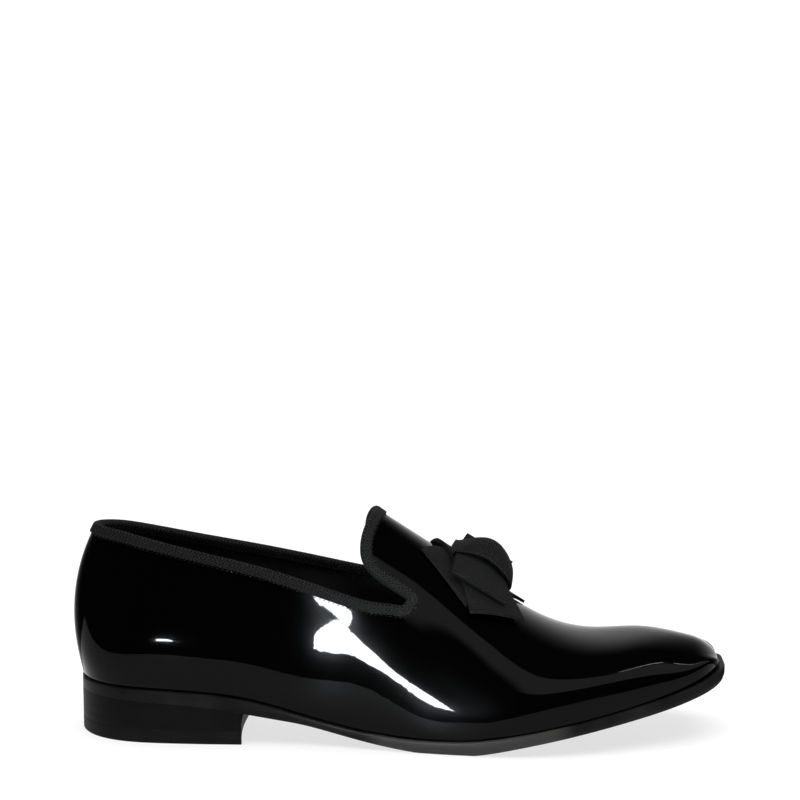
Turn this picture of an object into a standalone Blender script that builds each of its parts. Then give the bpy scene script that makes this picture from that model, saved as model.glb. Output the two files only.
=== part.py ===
"""A patent leather slip-on loafer with a ribbon bow: the right shoe of a pair.

The toe points along +X, the outer side of the foot along -Y, and the sole stands on z = 0.
The origin lies on the floor under the middle of the shoe. Sizes and tables are in
millimetres, measured along the shoe from the back of its heel, and objects are in metres.
"""

import math
from collections import namedtuple

import bmesh
import bpy
import numpy as np

MM = 0.001

# Driving dimensions, in millimetres
SHOE_LENGTH = 299.2
MIDDLE_ALONG = 149.4
HEEL_AXIS_SIDE = 0.9
SEAT_GAP = 0.3

# Upper
UPPER_WALL = 2.0
UPPER_TIP = 296.4
TOE_ROUND_START = 284.0
TOE_ROUND_POWER = 2.4
TOE_CORNER = 12.5
TONGUE_BLEND = 62.0

# Heel and insole
HEEL_LENGTH = 79.0
HEEL_BREAST_HOLLOW = 2.0
TOP_LIFT = 6.4
INSOLE_THICKNESS = 2.6
INSOLE_INSET = 3.4
INSOLE_END = 291.0

# Ribbon folded over the collar's edge
BINDING_WIDTH = 3.6
BINDING_THICKNESS = 0.7
BINDING_GAP = 0.45
BINDING_FOLD = 1.15

# Bow on the vamp
BOW_ALONG = 183.0
RIBBON_WIDTH = 30.8
RIBBON_THICKNESS = 0.5
RIBBON_LAYER_GAP = 0.9
LOOP_HEIGHT = 5.5
LOOP_AHEAD = 0.9
LOOP_START = 0.5
LOOP_GATHERED = 0.88
LOOP_TOP = 7.0
LOOP_EDGE = 0.9
LOOP_EDGE_SHARE = 0.97
LOOP_END_HEIGHT = 1.8
KNOT_WIDTH = 21.0
KNOT_HALF_LENGTH = 15.4
KNOT_TOP = 12.8
KNOT_EDGE = 2.0
KNOT_ROUND = 12.0
KNOT_BASE = -1.1
BULGE_POWER = 1.0
BULGE_LEAN = 0.42

# Steps of the meshes
UPPER_REAR = 22
UPPER_FRONT = 13
TOE_STEPS = 6
QUARTER_ROWS = 6
QUARTER_CROWDING = 0.75
TONGUE_STEPS = 10
TONGUE_CROWDING = 1.6
COLLAR_CROWDING = 1.25
SOLE_REAR = 16
SOLE_FRONT = 11
SOLE_STEPS_ACROSS = 6
INSOLE_STEPS_ACROSS = 4
HEEL_STEPS = 14
BINDING_FOLD_STEPS = 4
RIBBON_RUN_STEPS = 10
RIBBON_FOLD_STEPS = 3
RIBBON_WIDTH_STEPS = 5
LOOP_RUN_STEPS = 7
LOOP_FOLD_STEPS = 5
LOOP_WIDTH_STEPS = 8
KNOT_ARCH_STEPS = 14
KNOT_BASE_STEPS = 6
KNOT_WIDTH_STEPS = 6
PLACE_SAMPLES = 2000
CLIMB_SAMPLES = 400
ARC_SAMPLES = 401
SLOPE_STEP_ALONG = 0.05
SLOPE_STEP_ACROSS = 0.001
WELD = 0.001
TIP_WELD = 0.4
SHARP_ANGLE = 40.0
MITRE_LIMIT = 0.3

# Heights along the shoe: the feather is the seam of upper and sole, the bottom is the
# underside of the outsole at its edge, and the crown is how far its middle hangs lower.
Profile = namedtuple("Profile", "along feather bottom crown")
PROFILES = (
    Profile(0, 25.7, 19.8, 0.0),
    Profile(30, 25.2, 19.3, 0.0),
    Profile(55, 24.0, 17.8, 0.0),
    Profile(75, 22.1, 15.4, 0.6),
    Profile(90, 19.0, 12.4, 1.2),
    Profile(106, 14.5, 9.8, 1.2),
    Profile(122, 10.6, 6.2, 0.8),
    Profile(138, 7.8, 2.8, 0.4),
    Profile(154, 6.3, 0.5, 0.0),
    Profile(168, 6.2, -0.6, 0.0),
    Profile(182, 6.7, -0.3, 0.0),
    Profile(205, 10.0, 3.9, 0.0),
    Profile(230, 14.6, 8.8, 0.0),
    Profile(258, 20.0, 14.0, 0.0),
    Profile(284, 26.6, 20.2, 0.0),
    Profile(300, 32.4, 26.0, 0.0),
)

# Sections of the last. Each stands on a spine point and faces outward at a turn that swings
# from straight back at the heel to square across the shoe. The feather, belly and shoulder
# are distances out from the spine, and the crest is the top line over the foot.
Section = namedtuple(
    "Section",
    "along turn lateral medial belly_out belly_up"
    " shoulder_lateral shoulder_medial shoulder_z crest_side crest_z",
)
SECTIONS = (
    Section(33, 180, 29.7, 29.7, 3.7, 23.0, 22.6, 22.6, 95.4, 0.0, 126.0),
    Section(33, 150, 29.1, 29.8, 3.0, 18.0, 18.2, 19.6, 93.8, 0.0, 126.0),
    Section(33, 120, 28.4, 30.0, 1.2, 15.5, 14.5, 16.0, 90.9, 0.0, 125.0),
    Section(37, 97, 29.5, 30.0, 0.9, 18.2, 15.1, 14.8, 91.3, 0.0, 124.0),
    Section(60, 90, 30.8, 29.3, 1.1, 18.1, 17.8, 18.6, 88.3, 0.0, 122.0),
    Section(88, 90, 30.7, 27.0, 0.9, 16.9, 19.6, 22.0, 83.7, 1.0, 120.0),
    Section(115, 90, 31.8, 25.5, 0.9, 12.7, 22.7, 25.5, 80.9, 2.0, 117.0),
    Section(140, 90, 35.9, 27.5, 1.0, 9.4, 25.8, 28.0, 75.5, 3.0, 101.3),
    Section(165, 90, 40.9, 32.5, 1.1, 6.1, 27.6, 30.0, 65.4, 3.0, 84.5),
    Section(190, 90, 44.0, 39.0, 0.9, 4.8, 32.3, 32.0, 51.5, 3.0, 67.1),
    Section(215, 90, 44.0, 42.5, 0.5, 8.1, 32.9, 34.0, 42.0, 3.5, 51.1),
    Section(240, 90, 37.7, 41.5, -0.4, 6.7, 28.8, 34.0, 38.7, 5.0, 43.5),
    Section(262, 90, 28.6, 37.0, 0.0, 7.2, 19.8, 30.0, 40.8, 6.5, 44.5),
    Section(280, 90, 19.7, 30.5, -0.1, 6.4, 11.4, 24.5, 39.3, 7.0, 42.9),
    Section(UPPER_TIP, 90, 10.2, 25.0, 0.5, 6.1, 4.4, 19.0, 38.1, 7.5, 38.6),
)
MIRRORED_SECTIONS = 2

# Places of the seven section points across the shoe, from the outer feather over the
# crest at 1 to the inner feather at 2.
ACROSS_PLACES = (0.0, 0.2, 0.6, 1.0, 1.4, 1.8, 2.0)
CREST = 1.0

# How far the outsole's edge stands out from the feather.
Margin = namedtuple("Margin", "along margin")
SOLE_MARGINS = (
    Margin(0, 0.4),
    Margin(80, 0.8),
    Margin(150, 1.3),
    Margin(230, 1.5),
    Margin(SHOE_LENGTH, 2.7),
)
# Profiles of the sides, from top to bottom: inset from the edge, and share of the depth.
Level = namedtuple("Level", "inset depth")
SOLE_LEVELS = (Level(0.7, 0.0), Level(0.0, 0.12), Level(0.0, 0.68), Level(0.9, 1.0))
HEEL_LEVELS = (Level(0.25, 0.0), Level(0.0, 0.04), Level(0.0, 0.96), Level(0.25, 1.0))
INSOLE_LEVELS = (Level(0.4, 0.0), Level(0.0, 1.0))

# The crossed flat ribbons: tilt from straight across, and height of the middle between layers.
Ribbon = namedtuple("Ribbon", "name tilt half_length middle_height")
UNDER_RIBBONS = (
    Ribbon("bow_ribbon_lower", -34.7, 27.8, 1.35),
    Ribbon("bow_ribbon_upper", 23.5, 30.9, 3.1),
)

# The standing loops of the bow: side of the shoe, reach from the middle, rise of their ends
# and share of the ribbon's width there.
Loop = namedtuple("Loop", "name side reach end_rise end_width")
STANDING_LOOPS = (
    Loop("bow_loop_lateral", 1, 22.5, -0.6, 1.0),
    Loop("bow_loop_medial", -1, 20.0, 8.0, 0.86),
)

# The edge of the collar, seen from the side.
Edge = namedtuple("Edge", "along outer_height inner_height")
TOPLINE = (
    Edge(8, 94.7, 94.7),
    Edge(26, 91.8, 91.8),
    Edge(58, 85.0, 84.8),
    Edge(88, 78.3, 78.7),
    Edge(122, 68.6, 70.8),
    Edge(142, 64.3, 66.8),
    Edge(150, 63.5, 65.5),
    Edge(153.2, 63.8, 65.7),
    Edge(155.3, 66.4, 67.9),
)
# The edge of the tongue, from the notch at rise 0 to its top at rise 1.
Tongue = namedtuple("Tongue", "rise along")
TONGUE_EDGE = (
    Tongue(0.000, 155.3),
    Tongue(0.020, 155.0),
    Tongue(0.045, 150.5),
    Tongue(0.080, 143.0),
    Tongue(0.142, 136.8),
    Tongue(0.262, 134.3),
    Tongue(0.478, 135.6),
    Tongue(0.758, 138.5),
    Tongue(1.000, 140.0),
)


def clear_scene():
    """Removes every object of the start-up file."""
    for item in list(bpy.data.objects):
        bpy.data.objects.remove(item, do_unlink=True)


def spline(places, rows):
    """A natural cubic curve through the rows, one for each place."""
    places = np.asarray(places, float)
    rows = np.asarray(rows, float).reshape(len(places), -1)
    gaps = np.diff(places)
    system = np.eye(len(places))
    pull = np.zeros_like(rows)
    for k in range(1, len(places) - 1):
        system[k, k - 1 : k + 2] = gaps[k - 1], 2 * (gaps[k - 1] + gaps[k]), gaps[k]
        rise_before = (rows[k] - rows[k - 1]) / gaps[k - 1]
        rise_after = (rows[k + 1] - rows[k]) / gaps[k]
        pull[k] = 6 * (rise_after - rise_before)
    bends = np.linalg.solve(system, pull)

    def curve(at):
        at = np.asarray(at, float)
        k = np.clip(np.searchsorted(places, at, side="right") - 1, 0, len(gaps) - 1)
        gap = gaps[k]
        before = ((places[k + 1] - at) / gap)[..., None]
        after = 1 - before
        straight = before * rows[k] + after * rows[k + 1]
        bent = (before**3 - before) * bends[k] + (after**3 - after) * bends[k + 1]
        return straight + bent * gap[..., None] ** 2 / 6

    return curve


profile_curve = spline([row.along for row in PROFILES], PROFILES)
topline_curve = spline([row.along for row in TOPLINE], TOPLINE)
tongue_rows = TONGUE_EDGE + tuple(row._replace(rise=2 - row.rise) for row in TONGUE_EDGE[-2::-1])
tongue_curve = spline([row.rise for row in tongue_rows], tongue_rows)
across_curve = spline(ACROSS_PLACES, np.eye(len(ACROSS_PLACES)))
margin_curve = spline([row.along for row in SOLE_MARGINS], SOLE_MARGINS)


def feather_height(along):
    return profile_curve(along)[..., 1]


def sole_bottom(along, share_across):
    """Height of the outsole's underside, lower in the middle of the waist, cut flat by the floor."""
    values = profile_curve(along)
    crown = values[..., 3] * (1 - (2 * np.asarray(share_across) - 1) ** 2)
    return np.maximum(values[..., 2] - crown, 0.0)


def outward(turn, side):
    """The plan direction of a section, on the outer side (-1) or the inner side (+1)."""
    angle = np.radians(turn)
    return np.stack([np.cos(angle), side * np.sin(angle)], axis=-1)


def section_rows():
    """The sections with their spline places, after mirrored ones that carry them round the heel."""
    before = [row._replace(turn=360 - row.turn) for row in SECTIONS[MIRRORED_SECTIONS:0:-1]]
    rows = np.array(before + list(SECTIONS), float)
    reach = rows[:, 2] + rows[:, 4]
    belly = rows[:, :1] * [1, 0] + reach[:, None] * outward(rows[:, 1], -1)
    steps = np.linalg.norm(np.diff(belly, axis=0), axis=1)
    places = np.concatenate([[0], np.cumsum(steps)])
    return places - places[MIRRORED_SECTIONS], rows


section_places, section_values = section_rows()
section_curve = spline(section_places, section_values)
TIP_PLACE = section_places[-1]


def place_at(along):
    """The spline place of a section that stands square across the shoe."""
    places = np.linspace(0, TIP_PLACE, PLACE_SAMPLES)
    return np.interp(along, section_curve(places)[..., 0], places)


def toe_rounding(along):
    """Falls from 1 to 0 over the rounded end of the toe."""
    share = np.clip((along - TOE_ROUND_START) / (UPPER_TIP - TOE_ROUND_START), 0, 1)
    return np.maximum(1 - share**TOE_ROUND_POWER, 0) ** (1 / TOE_ROUND_POWER)


def section_points(place):
    """The seven points of the last's section at a place: (..., 7, 3) in millimetres."""
    row = Section(*np.moveaxis(section_curve(place), -1, 0))
    full = toe_rounding(row.along)
    spine = np.stack([row.along, np.zeros_like(row.along)], axis=-1)
    points = []
    halves = ((-1, row.lateral, row.shoulder_lateral), (1, row.medial, row.shoulder_medial))
    for side, half, shoulder in halves:
        direction = outward(row.turn, side)
        middle = side * row.crest_side
        pinch = TOE_CORNER * (1 - full) / (half - middle)
        distances = np.stack([half, half + row.belly_out * full, shoulder])
        distances -= pinch * (distances - middle)
        plans = spine + distances[..., None] * direction
        seat = feather_height(plans[0][..., 0])
        heights = (seat, seat + row.belly_up * full, seat + (row.shoulder_z - seat) * full)
        for plan, height in zip(plans, heights):
            points.append(np.concatenate([plan, height[..., None]], axis=-1))
    seat = feather_height(row.along)
    crest = np.stack([row.along, row.crest_side, seat + (row.crest_z - seat) * full], axis=-1)
    ordered = points[:3] + [crest] + points[:2:-1]
    return np.stack(ordered, axis=-2)


def last_surface(place, across):
    """Points of the last's outer surface, in millimetres from the back of the heel."""
    place, across = np.broadcast_arrays(np.asarray(place, float), np.asarray(across, float))
    weights = across_curve(across)
    return np.einsum("...k,...kc->...c", weights, section_points(place))


def surface_frame(place, across):
    """Slopes of the last along and across the shoe, and its outward normal."""
    place, across = np.broadcast_arrays(np.asarray(place, float), np.asarray(across, float))
    after = np.minimum(place + SLOPE_STEP_ALONG, TIP_PLACE)
    before = after - 2 * SLOPE_STEP_ALONG
    along = (last_surface(after, across) - last_surface(before, across)) / (2 * SLOPE_STEP_ALONG)
    high = np.minimum(across + SLOPE_STEP_ACROSS, 2 * CREST)
    low = high - 2 * SLOPE_STEP_ACROSS
    over = (last_surface(place, high) - last_surface(place, low)) / (2 * SLOPE_STEP_ACROSS)
    normal = np.cross(along, over)
    normal /= np.linalg.norm(normal, axis=-1, keepdims=True)
    return along, over, normal


def counted_from_outer(across, side):
    """Turns a place counted up from a side's own feather into one counted from the outer feather."""
    return across if side < 0 else 2 * CREST - across


def topline_across(places, side):
    """How far up its section the collar's edge lies, counted from that side's feather."""
    found = []
    column = Edge._fields.index("outer_height" if side < 0 else "inner_height")
    climb = np.linspace(0, CREST, CLIMB_SAMPLES)
    for place in np.atleast_1d(places):
        points = last_surface(place, counted_from_outer(climb, side))
        collar = topline_curve(np.maximum(points[:, 0], TOPLINE[0].along))[:, column]
        above = points[:, 2] - collar
        first = int(np.argmax(above > 0))
        share = above[first - 1] / (above[first - 1] - above[first])
        found.append(climb[first - 1] + share * (climb[first] - climb[first - 1]))
    return np.array(found)


NOTCH_PLACE = float(place_at(TOPLINE[-1].along))
OUTER_NOTCH = float(topline_across(NOTCH_PLACE, -1)[0])
INNER_NOTCH = float(topline_across(NOTCH_PLACE, 1)[0])


def tongue_route(count):
    """The tongue's edge from the outer notch over its top to the inner notch."""
    rise = np.linspace(0, 1, count + 1) ** TONGUE_CROWDING
    places = place_at(tongue_curve(rise)[:, 1])
    outer = OUTER_NOTCH + (CREST - OUTER_NOTCH) * rise
    inner = INNER_NOTCH + (CREST - INNER_NOTCH) * rise
    across = np.concatenate([outer, 2 * CREST - inner[-2::-1]])
    return np.concatenate([places, places[-2::-1]]), across


def collar_places(count):
    """Section places from the back seam to the notch, closer together at the notch."""
    share = 1 - (1 - np.linspace(0, 1, count + 1)) ** COLLAR_CROWDING
    return NOTCH_PLACE * share


def front_places(count, toe_count):
    """Section places from the notch to the tip of the toe, closer together at the tip."""
    toe = float(place_at(TOE_ROUND_START))
    vamp = np.linspace(NOTCH_PLACE, toe, count + 1)
    end = toe + (TIP_PLACE - toe) * np.sin(np.linspace(0, math.pi / 2, toe_count + 1))
    return np.concatenate([vamp, end[1:]])


def grid_faces(rows, columns, flip=False):
    """Quads of a grid of points that is numbered row by row."""
    faces = []
    for i in range(rows - 1):
        for j in range(columns - 1):
            corner = i * columns + j
            face = (corner, corner + columns, corner + columns + 1, corner + 1)
            faces.append(face[::-1] if flip else face)
    return faces


def to_metres(points):
    """Moves points from the heel's frame to the origin under the middle of the shoe."""
    return (np.asarray(points, float) + [-MIDDLE_ALONG, HEEL_AXIS_SIDE, 0.0]) * MM


def add_object(name, points, faces, material, weld=WELD):
    """A smooth-shaded object from points in millimetres."""
    mesh = bpy.data.meshes.new(name)
    mesh.from_pydata(to_metres(points).tolist(), [], faces)
    work = bmesh.new()
    work.from_mesh(mesh)
    bmesh.ops.remove_doubles(work, verts=work.verts, dist=weld * MM)
    work.to_mesh(mesh)
    work.free()
    mesh.shade_smooth()
    mesh.set_sharp_from_angle(angle=math.radians(SHARP_ANGLE))
    mesh.materials.append(material)
    item = bpy.data.objects.new(name, mesh)
    parts.objects.link(item)
    item.parent = root
    return item


def thicken(item, thickness, offset):
    """Gives an open surface its thickness: inward for an offset of -1, both ways for 0."""
    solidify = item.modifiers.new("thickness", "SOLIDIFY")
    solidify.thickness = thickness * MM
    solidify.offset = offset
    solidify.use_even_offset = True
    return item


def add_material(name, colour, roughness, coat=0.0):
    material = bpy.data.materials.new(name)
    material.use_nodes = True
    shader = material.node_tree.nodes["Principled BSDF"]
    shader.inputs["Base Color"].default_value = (*colour, 1.0)
    shader.inputs["Roughness"].default_value = roughness
    shader.inputs["Metallic"].default_value = 0.0
    shader.inputs["Coat Weight"].default_value = coat
    return material


def plan_outset(loop, distance):
    """Moves each point of a closed plan loop outward, with mitred corners."""
    before = loop - np.roll(loop, 1, axis=0)
    after = np.roll(before, -1, axis=0)
    normals = []
    for edge in (before, after):
        length = np.linalg.norm(edge, axis=1, keepdims=True)
        normals.append(np.stack([edge[:, 1], -edge[:, 0]], axis=1) / length)
    total = normals[0] + normals[1]
    facing = np.sum(normals[0] * normals[1], axis=1, keepdims=True)
    return loop + np.reshape(distance, (-1, 1)) * total / np.maximum(1 + facing, MITRE_LIMIT)


def feather_loop(places, front):
    """The seam of upper and sole as a plan loop, closed by the front points given."""
    outer = last_surface(places, 0.0)[:, :2]
    inner = last_surface(places, 2 * CREST)[:, :2]
    return np.concatenate([outer, front, inner[:0:-1]])


def toe_front(steps_across):
    """Plan points of the toe's front edge between its two corners."""
    across = np.linspace(0, 2 * CREST, steps_across + 1)[1:-1]
    return last_surface(TIP_PLACE, across)[:, :2]


def square_front(place, steps_across, hollow):
    """Plan points of a front edge square across the shoe, hollowed between its two corners."""
    share = np.linspace(0, 1, steps_across + 1)[1:-1, None]
    outer = last_surface(place, 0.0)[:2]
    inner = last_surface(place, 2 * CREST)[:2]
    return outer + share * (inner - outer) - hollow * 4 * share * (1 - share) * [1, 0]


def slab(name, loop, steps_across, levels, top, bottom, material):
    """A closed solid over a plan loop that starts at the heel's back.

    Rungs join the loop's two sides. The levels give the side's profile from top to bottom.
    Top and bottom are heights at a plan point and at its share of the way across.
    """
    rungs = (len(loop) - steps_across) // 2
    count = len(loop)
    loop_share = np.zeros(count)
    loop_share[rungs : rungs + steps_across + 1] = np.linspace(0, 1, steps_across + 1)
    loop_share[rungs + steps_across + 1 :] = 1
    loop_share[0] = 0.5
    points = []
    faces = []
    for level in levels:
        plan = plan_outset(loop, -level.inset * np.ones(count))
        high = top(plan[:, 0], loop_share)
        low = bottom(plan[:, 0], loop_share)
        points += np.column_stack([plan, high + (low - high) * level.depth]).tolist()
    for level in range(len(levels) - 1):
        for k in range(count):
            following = (k + 1) % count
            start = level * count
            faces.append((start + k, start + count + k, start + count + following, start + following))
    shares = np.linspace(0, 1, steps_across + 1)
    for level, height, flip in ((0, top, False), (len(levels) - 1, bottom, True)):
        start = level * count
        lid = np.zeros((rungs + 1, steps_across + 1), int)
        for i in range(rungs + 1):
            outer = start + i
            inner = start + (count - i) % count
            for j, share in enumerate(shares):
                if j == 0 or i == 0:
                    lid[i, j] = outer
                elif j == steps_across:
                    lid[i, j] = inner
                elif i == rungs:
                    lid[i, j] = start + rungs + j
                else:
                    plan = (1 - share) * np.array(points[outer][:2]) + share * np.array(points[inner][:2])
                    lid[i, j] = len(points)
                    points.append([*plan, float(height(plan[0], share))])
        for i in range(rungs):
            for j in range(steps_across):
                face = [lid[i, j], lid[i + 1, j], lid[i + 1, j + 1], lid[i, j + 1]]
                face = list(dict.fromkeys(int(corner) for corner in face))
                faces.append(face[::-1] if flip else face)
    return add_object(name, points, faces, material)


def sole_loop(places, front):
    """The outsole's edge: the feather moved out by the margin that shows beyond the upper."""
    loop = feather_loop(places, front)
    return plan_outset(loop, margin_curve(np.clip(loop[:, 0], 0, SHOE_LENGTH))[:, 1])


def build_outsole():
    places = np.concatenate([collar_places(SOLE_REAR), front_places(SOLE_FRONT, TOE_STEPS)[1:]])
    loop = sole_loop(places, toe_front(SOLE_STEPS_ACROSS))

    def top(along, share):
        return feather_height(along) - SEAT_GAP

    material = add_material("sole_leather_black", (0.012, 0.011, 0.011), 0.42)
    slab("outsole", loop, SOLE_STEPS_ACROSS, SOLE_LEVELS, top, sole_bottom, material)


def build_heel():
    breast = float(place_at(HEEL_LENGTH))
    places = np.linspace(0, breast, HEEL_STEPS + 1)
    loop = sole_loop(places, square_front(breast, SOLE_STEPS_ACROSS, HEEL_BREAST_HOLLOW))
    material = add_material("heel_stack_black", (0.014, 0.013, 0.013), 0.4)

    def block_top(along, share):
        return sole_bottom(along, share) - SEAT_GAP

    def block_bottom(along, share):
        return TOP_LIFT + SEAT_GAP + 0 * np.asarray(along)

    slab("heel_block", loop, SOLE_STEPS_ACROSS, HEEL_LEVELS, block_top, block_bottom, material)
    rubber = add_material("heel_rubber_black", (0.01, 0.01, 0.01), 0.55)

    def lift_top(along, share):
        return TOP_LIFT + 0 * np.asarray(along)

    def lift_bottom(along, share):
        return 0 * np.asarray(along)

    slab("heel_top_lift", loop, SOLE_STEPS_ACROSS, HEEL_LEVELS, lift_top, lift_bottom, rubber)


def build_insole():
    end = float(place_at(INSOLE_END))
    places = np.concatenate([collar_places(SOLE_REAR), np.linspace(NOTCH_PLACE, end, SOLE_FRONT + 1)[1:]])
    loop = feather_loop(places, square_front(end, INSOLE_STEPS_ACROSS, 0.0))
    loop = plan_outset(loop, -INSOLE_INSET * np.ones(len(loop)))

    def top(along, share):
        return feather_height(along) + INSOLE_THICKNESS

    def bottom(along, share):
        return feather_height(along)

    material = add_material("insole_leather_black", (0.02, 0.019, 0.018), 0.6)
    slab("insole", loop, INSOLE_STEPS_ACROSS, INSOLE_LEVELS, top, bottom, material)


def build_upper():
    """The hollow upper: two quarters from the feather to the collar, and the vamp with its tongue."""
    rear = collar_places(UPPER_REAR)
    front = front_places(UPPER_FRONT, TOE_STEPS)
    columns = np.concatenate([rear[:-1], front])
    climb = np.linspace(0, 1, QUARTER_ROWS + 1) ** QUARTER_CROWDING
    points = []
    faces = []
    for side, notch in ((-1, OUTER_NOTCH), (1, INNER_NOTCH)):
        collar = np.append(topline_across(rear[:-1], side), np.full(len(front), notch))
        across = counted_from_outer(collar[:, None] * climb, side)
        patch = last_surface(columns[:, None], across).reshape(-1, 3)
        quads = grid_faces(len(columns), len(climb), flip=side > 0)
        faces += [tuple(len(points) + corner for corner in quad) for quad in quads]
        points += patch.tolist()
    tongue, across = tongue_route(TONGUE_STEPS)
    fade = (1 - np.clip((front - NOTCH_PLACE) / TONGUE_BLEND, 0, 1)) ** 2
    places = front[:, None] + (tongue - NOTCH_PLACE) * fade[:, None]
    patch = last_surface(places, across[None]).reshape(-1, 3)
    quads = grid_faces(len(front), len(across))
    faces += [tuple(len(points) + corner for corner in quad) for quad in quads]
    points += patch.tolist()
    material = add_material("patent_leather_black", (0.004, 0.004, 0.005), 0.06, coat=1.0)
    thicken(add_object("upper", points, faces, material, TIP_WELD), UPPER_WALL, -1)


def rim_route():
    """The whole edge of the opening as a loop of places and across, from the back seam."""
    rear = collar_places(UPPER_REAR)[:-1]
    tongue, tongue_across = tongue_route(TONGUE_STEPS)
    outer = topline_across(rear, -1)
    inner = counted_from_outer(topline_across(rear, 1), 1)
    places = np.concatenate([rear, tongue, rear[:0:-1]])
    across = np.concatenate([outer, tongue_across, inner[:0:-1]])
    return places, across


def rim_band(places, across, reach, height):
    """Points beside the rim: reach in millimetres into the leather, height off its outer face."""
    rim = last_surface(places, across)
    tangent = np.roll(rim, -1, axis=0) - np.roll(rim, 1, axis=0)
    along, over, normal = surface_frame(places, across)
    inward = np.cross(tangent, normal)
    inward /= np.linalg.norm(inward, axis=1, keepdims=True)
    slopes = np.stack([along, over], axis=2)
    step = np.einsum("nij,nj->ni", np.linalg.pinv(slopes), inward) * reach
    mirrored = places + step[:, 0] < 0
    moved = np.abs(places + step[:, 0])
    moved_across = across + step[:, 1]
    moved_across = np.where(mirrored, 2 * CREST - moved_across, moved_across)
    base = last_surface(moved, moved_across)
    return base + height * surface_frame(moved, moved_across)[2]


def binding_profile():
    """Reach and height of the ribbon folded over the rim, from its outer edge to its inner edge."""
    half = BINDING_THICKNESS / 2
    stand_off = BINDING_GAP + half
    middle = -UPPER_WALL / 2
    profile = [(BINDING_WIDTH * share, stand_off) for share in (1.0, 0.5)]
    for angle in np.linspace(math.pi / 2, -math.pi / 2, BINDING_FOLD_STEPS + 1):
        profile.append((-BINDING_FOLD * math.cos(angle), middle + (stand_off - middle) * math.sin(angle)))
    profile += [(BINDING_WIDTH * share, -UPPER_WALL - stand_off) for share in (0.5, 1.0)]
    return profile


def build_binding():
    places, across = rim_route()
    rows = [rim_band(places, across, reach, height) for reach, height in binding_profile()]
    rows = np.stack(rows, axis=1)
    count, width = rows.shape[:2]
    closed = np.concatenate([rows, rows[:1]]).reshape(-1, 3)
    material = add_material("grosgrain_black", (0.02, 0.02, 0.021), 0.75)
    item = add_object("topline_binding", closed, grid_faces(count + 1, width), material)
    thicken(item, BINDING_THICKNESS, 0)


def vamp_spot(along, aside):
    """A point of the vamp and its normal, at an arc distance from the crest to the outer side."""
    fine = np.linspace(0, 2 * CREST, ARC_SAMPLES)
    place = place_at(along)
    section = last_surface(place[:, None], fine[None])
    steps = np.linalg.norm(np.diff(section, axis=1), axis=2)
    arc = np.concatenate([np.zeros((len(place), 1)), np.cumsum(steps, axis=1)], axis=1)
    arc -= arc[:, len(fine) // 2, None]
    across = np.array([np.interp(-reach, row, fine) for reach, row in zip(aside, arc)])
    return last_surface(place, across), surface_frame(place, across)[2]


def bow_points(ahead, aside, height):
    """Points of the bow from distances down the vamp, to the outer side and off the leather."""
    ahead, aside, height = np.broadcast_arrays(ahead, aside, height)
    slope = np.diff(last_surface(place_at([BOW_ALONG - 1, BOW_ALONG + 1]), CREST), axis=0)[0]
    level = slope[0] / np.linalg.norm(slope)
    base, normal = vamp_spot(BOW_ALONG + level * ahead.ravel(), aside.ravel())
    return base + height.ravel()[:, None] * normal


def half_turn(steps):
    """Angles of a ribbon's fold, from its lower to its upper layer."""
    return np.linspace(-math.pi / 2, math.pi / 2, steps + 1)


def build_under_ribbons(material):
    """Two flat loops that cross under the bow, the second on top of the first."""
    for ribbon in UNDER_RIBBONS:
        turn = half_turn(RIBBON_FOLD_STEPS)
        fold = RIBBON_LAYER_GAP / 2
        run = np.linspace(-ribbon.half_length, ribbon.half_length, RIBBON_RUN_STEPS + 1)[1:-1]
        out = np.concatenate([run, ribbon.half_length + fold * np.cos(turn)])
        low = np.concatenate([np.full(len(run), -fold), fold * np.sin(turn)])
        along = np.concatenate([out, -out])[:, None]
        height = np.concatenate([low, -low])[:, None] + ribbon.middle_height
        width = np.linspace(-RIBBON_WIDTH / 2, RIBBON_WIDTH / 2, RIBBON_WIDTH_STEPS + 1)
        tilt = math.radians(ribbon.tilt)
        ahead = along * math.sin(tilt) + width * math.cos(tilt)
        aside = along * math.cos(tilt) - width * math.sin(tilt)
        points = bow_points(ahead, aside, height).reshape(*ahead.shape, 3)
        closed = np.concatenate([points, points[:1]]).reshape(-1, 3)
        item = add_object(ribbon.name, closed, grid_faces(len(points) + 1, len(width)), material)
        thicken(item, RIBBON_THICKNESS, 0)


def bulge(share):
    """Height of the bow's swelling down the vamp, which leans forward."""
    return (1 - share**2) ** (BULGE_POWER - BULGE_LEAN * share)


def build_loops(material):
    """The two standing loops of the bow, gathered under the knot and flat at their folded ends."""
    turn = half_turn(LOOP_FOLD_STEPS)
    fold = LOOP_END_HEIGHT / 2
    share = LOOP_EDGE_SHARE * np.linspace(-1, 1, LOOP_WIDTH_STEPS + 1)
    arch = LOOP_EDGE + (LOOP_TOP - LOOP_EDGE) * bulge(share)
    for loop in STANDING_LOOPS:
        end = loop.reach - fold
        run = np.linspace(LOOP_START, end, LOOP_RUN_STEPS + 1)[:-1]
        out = np.concatenate([run, end + fold * np.cos(turn), run[::-1]])[:, None]
        rise = np.concatenate([np.zeros(len(run)), (1 + np.sin(turn)) / 2, np.ones(len(run))])[:, None]
        inward = 1 - np.clip(out / end, 0, 1)
        gather = loop.end_width + (LOOP_GATHERED - loop.end_width) * inward
        ahead = LOOP_AHEAD + RIBBON_WIDTH / 2 * share * gather
        free = np.clip((out - KNOT_WIDTH / 2) / (end - KNOT_WIDTH / 2), 0, 1)
        lift = loop.end_rise * free**2 * (3 - 2 * free)
        tall = LOOP_END_HEIGHT + (arch - LOOP_END_HEIGHT) * inward
        height = LOOP_HEIGHT + lift + rise * tall
        points = bow_points(ahead, loop.side * out, height)
        quads = grid_faces(len(out), len(share), flip=loop.side < 0)
        thicken(add_object(loop.name, points, quads, material), RIBBON_THICKNESS, 0)


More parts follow.
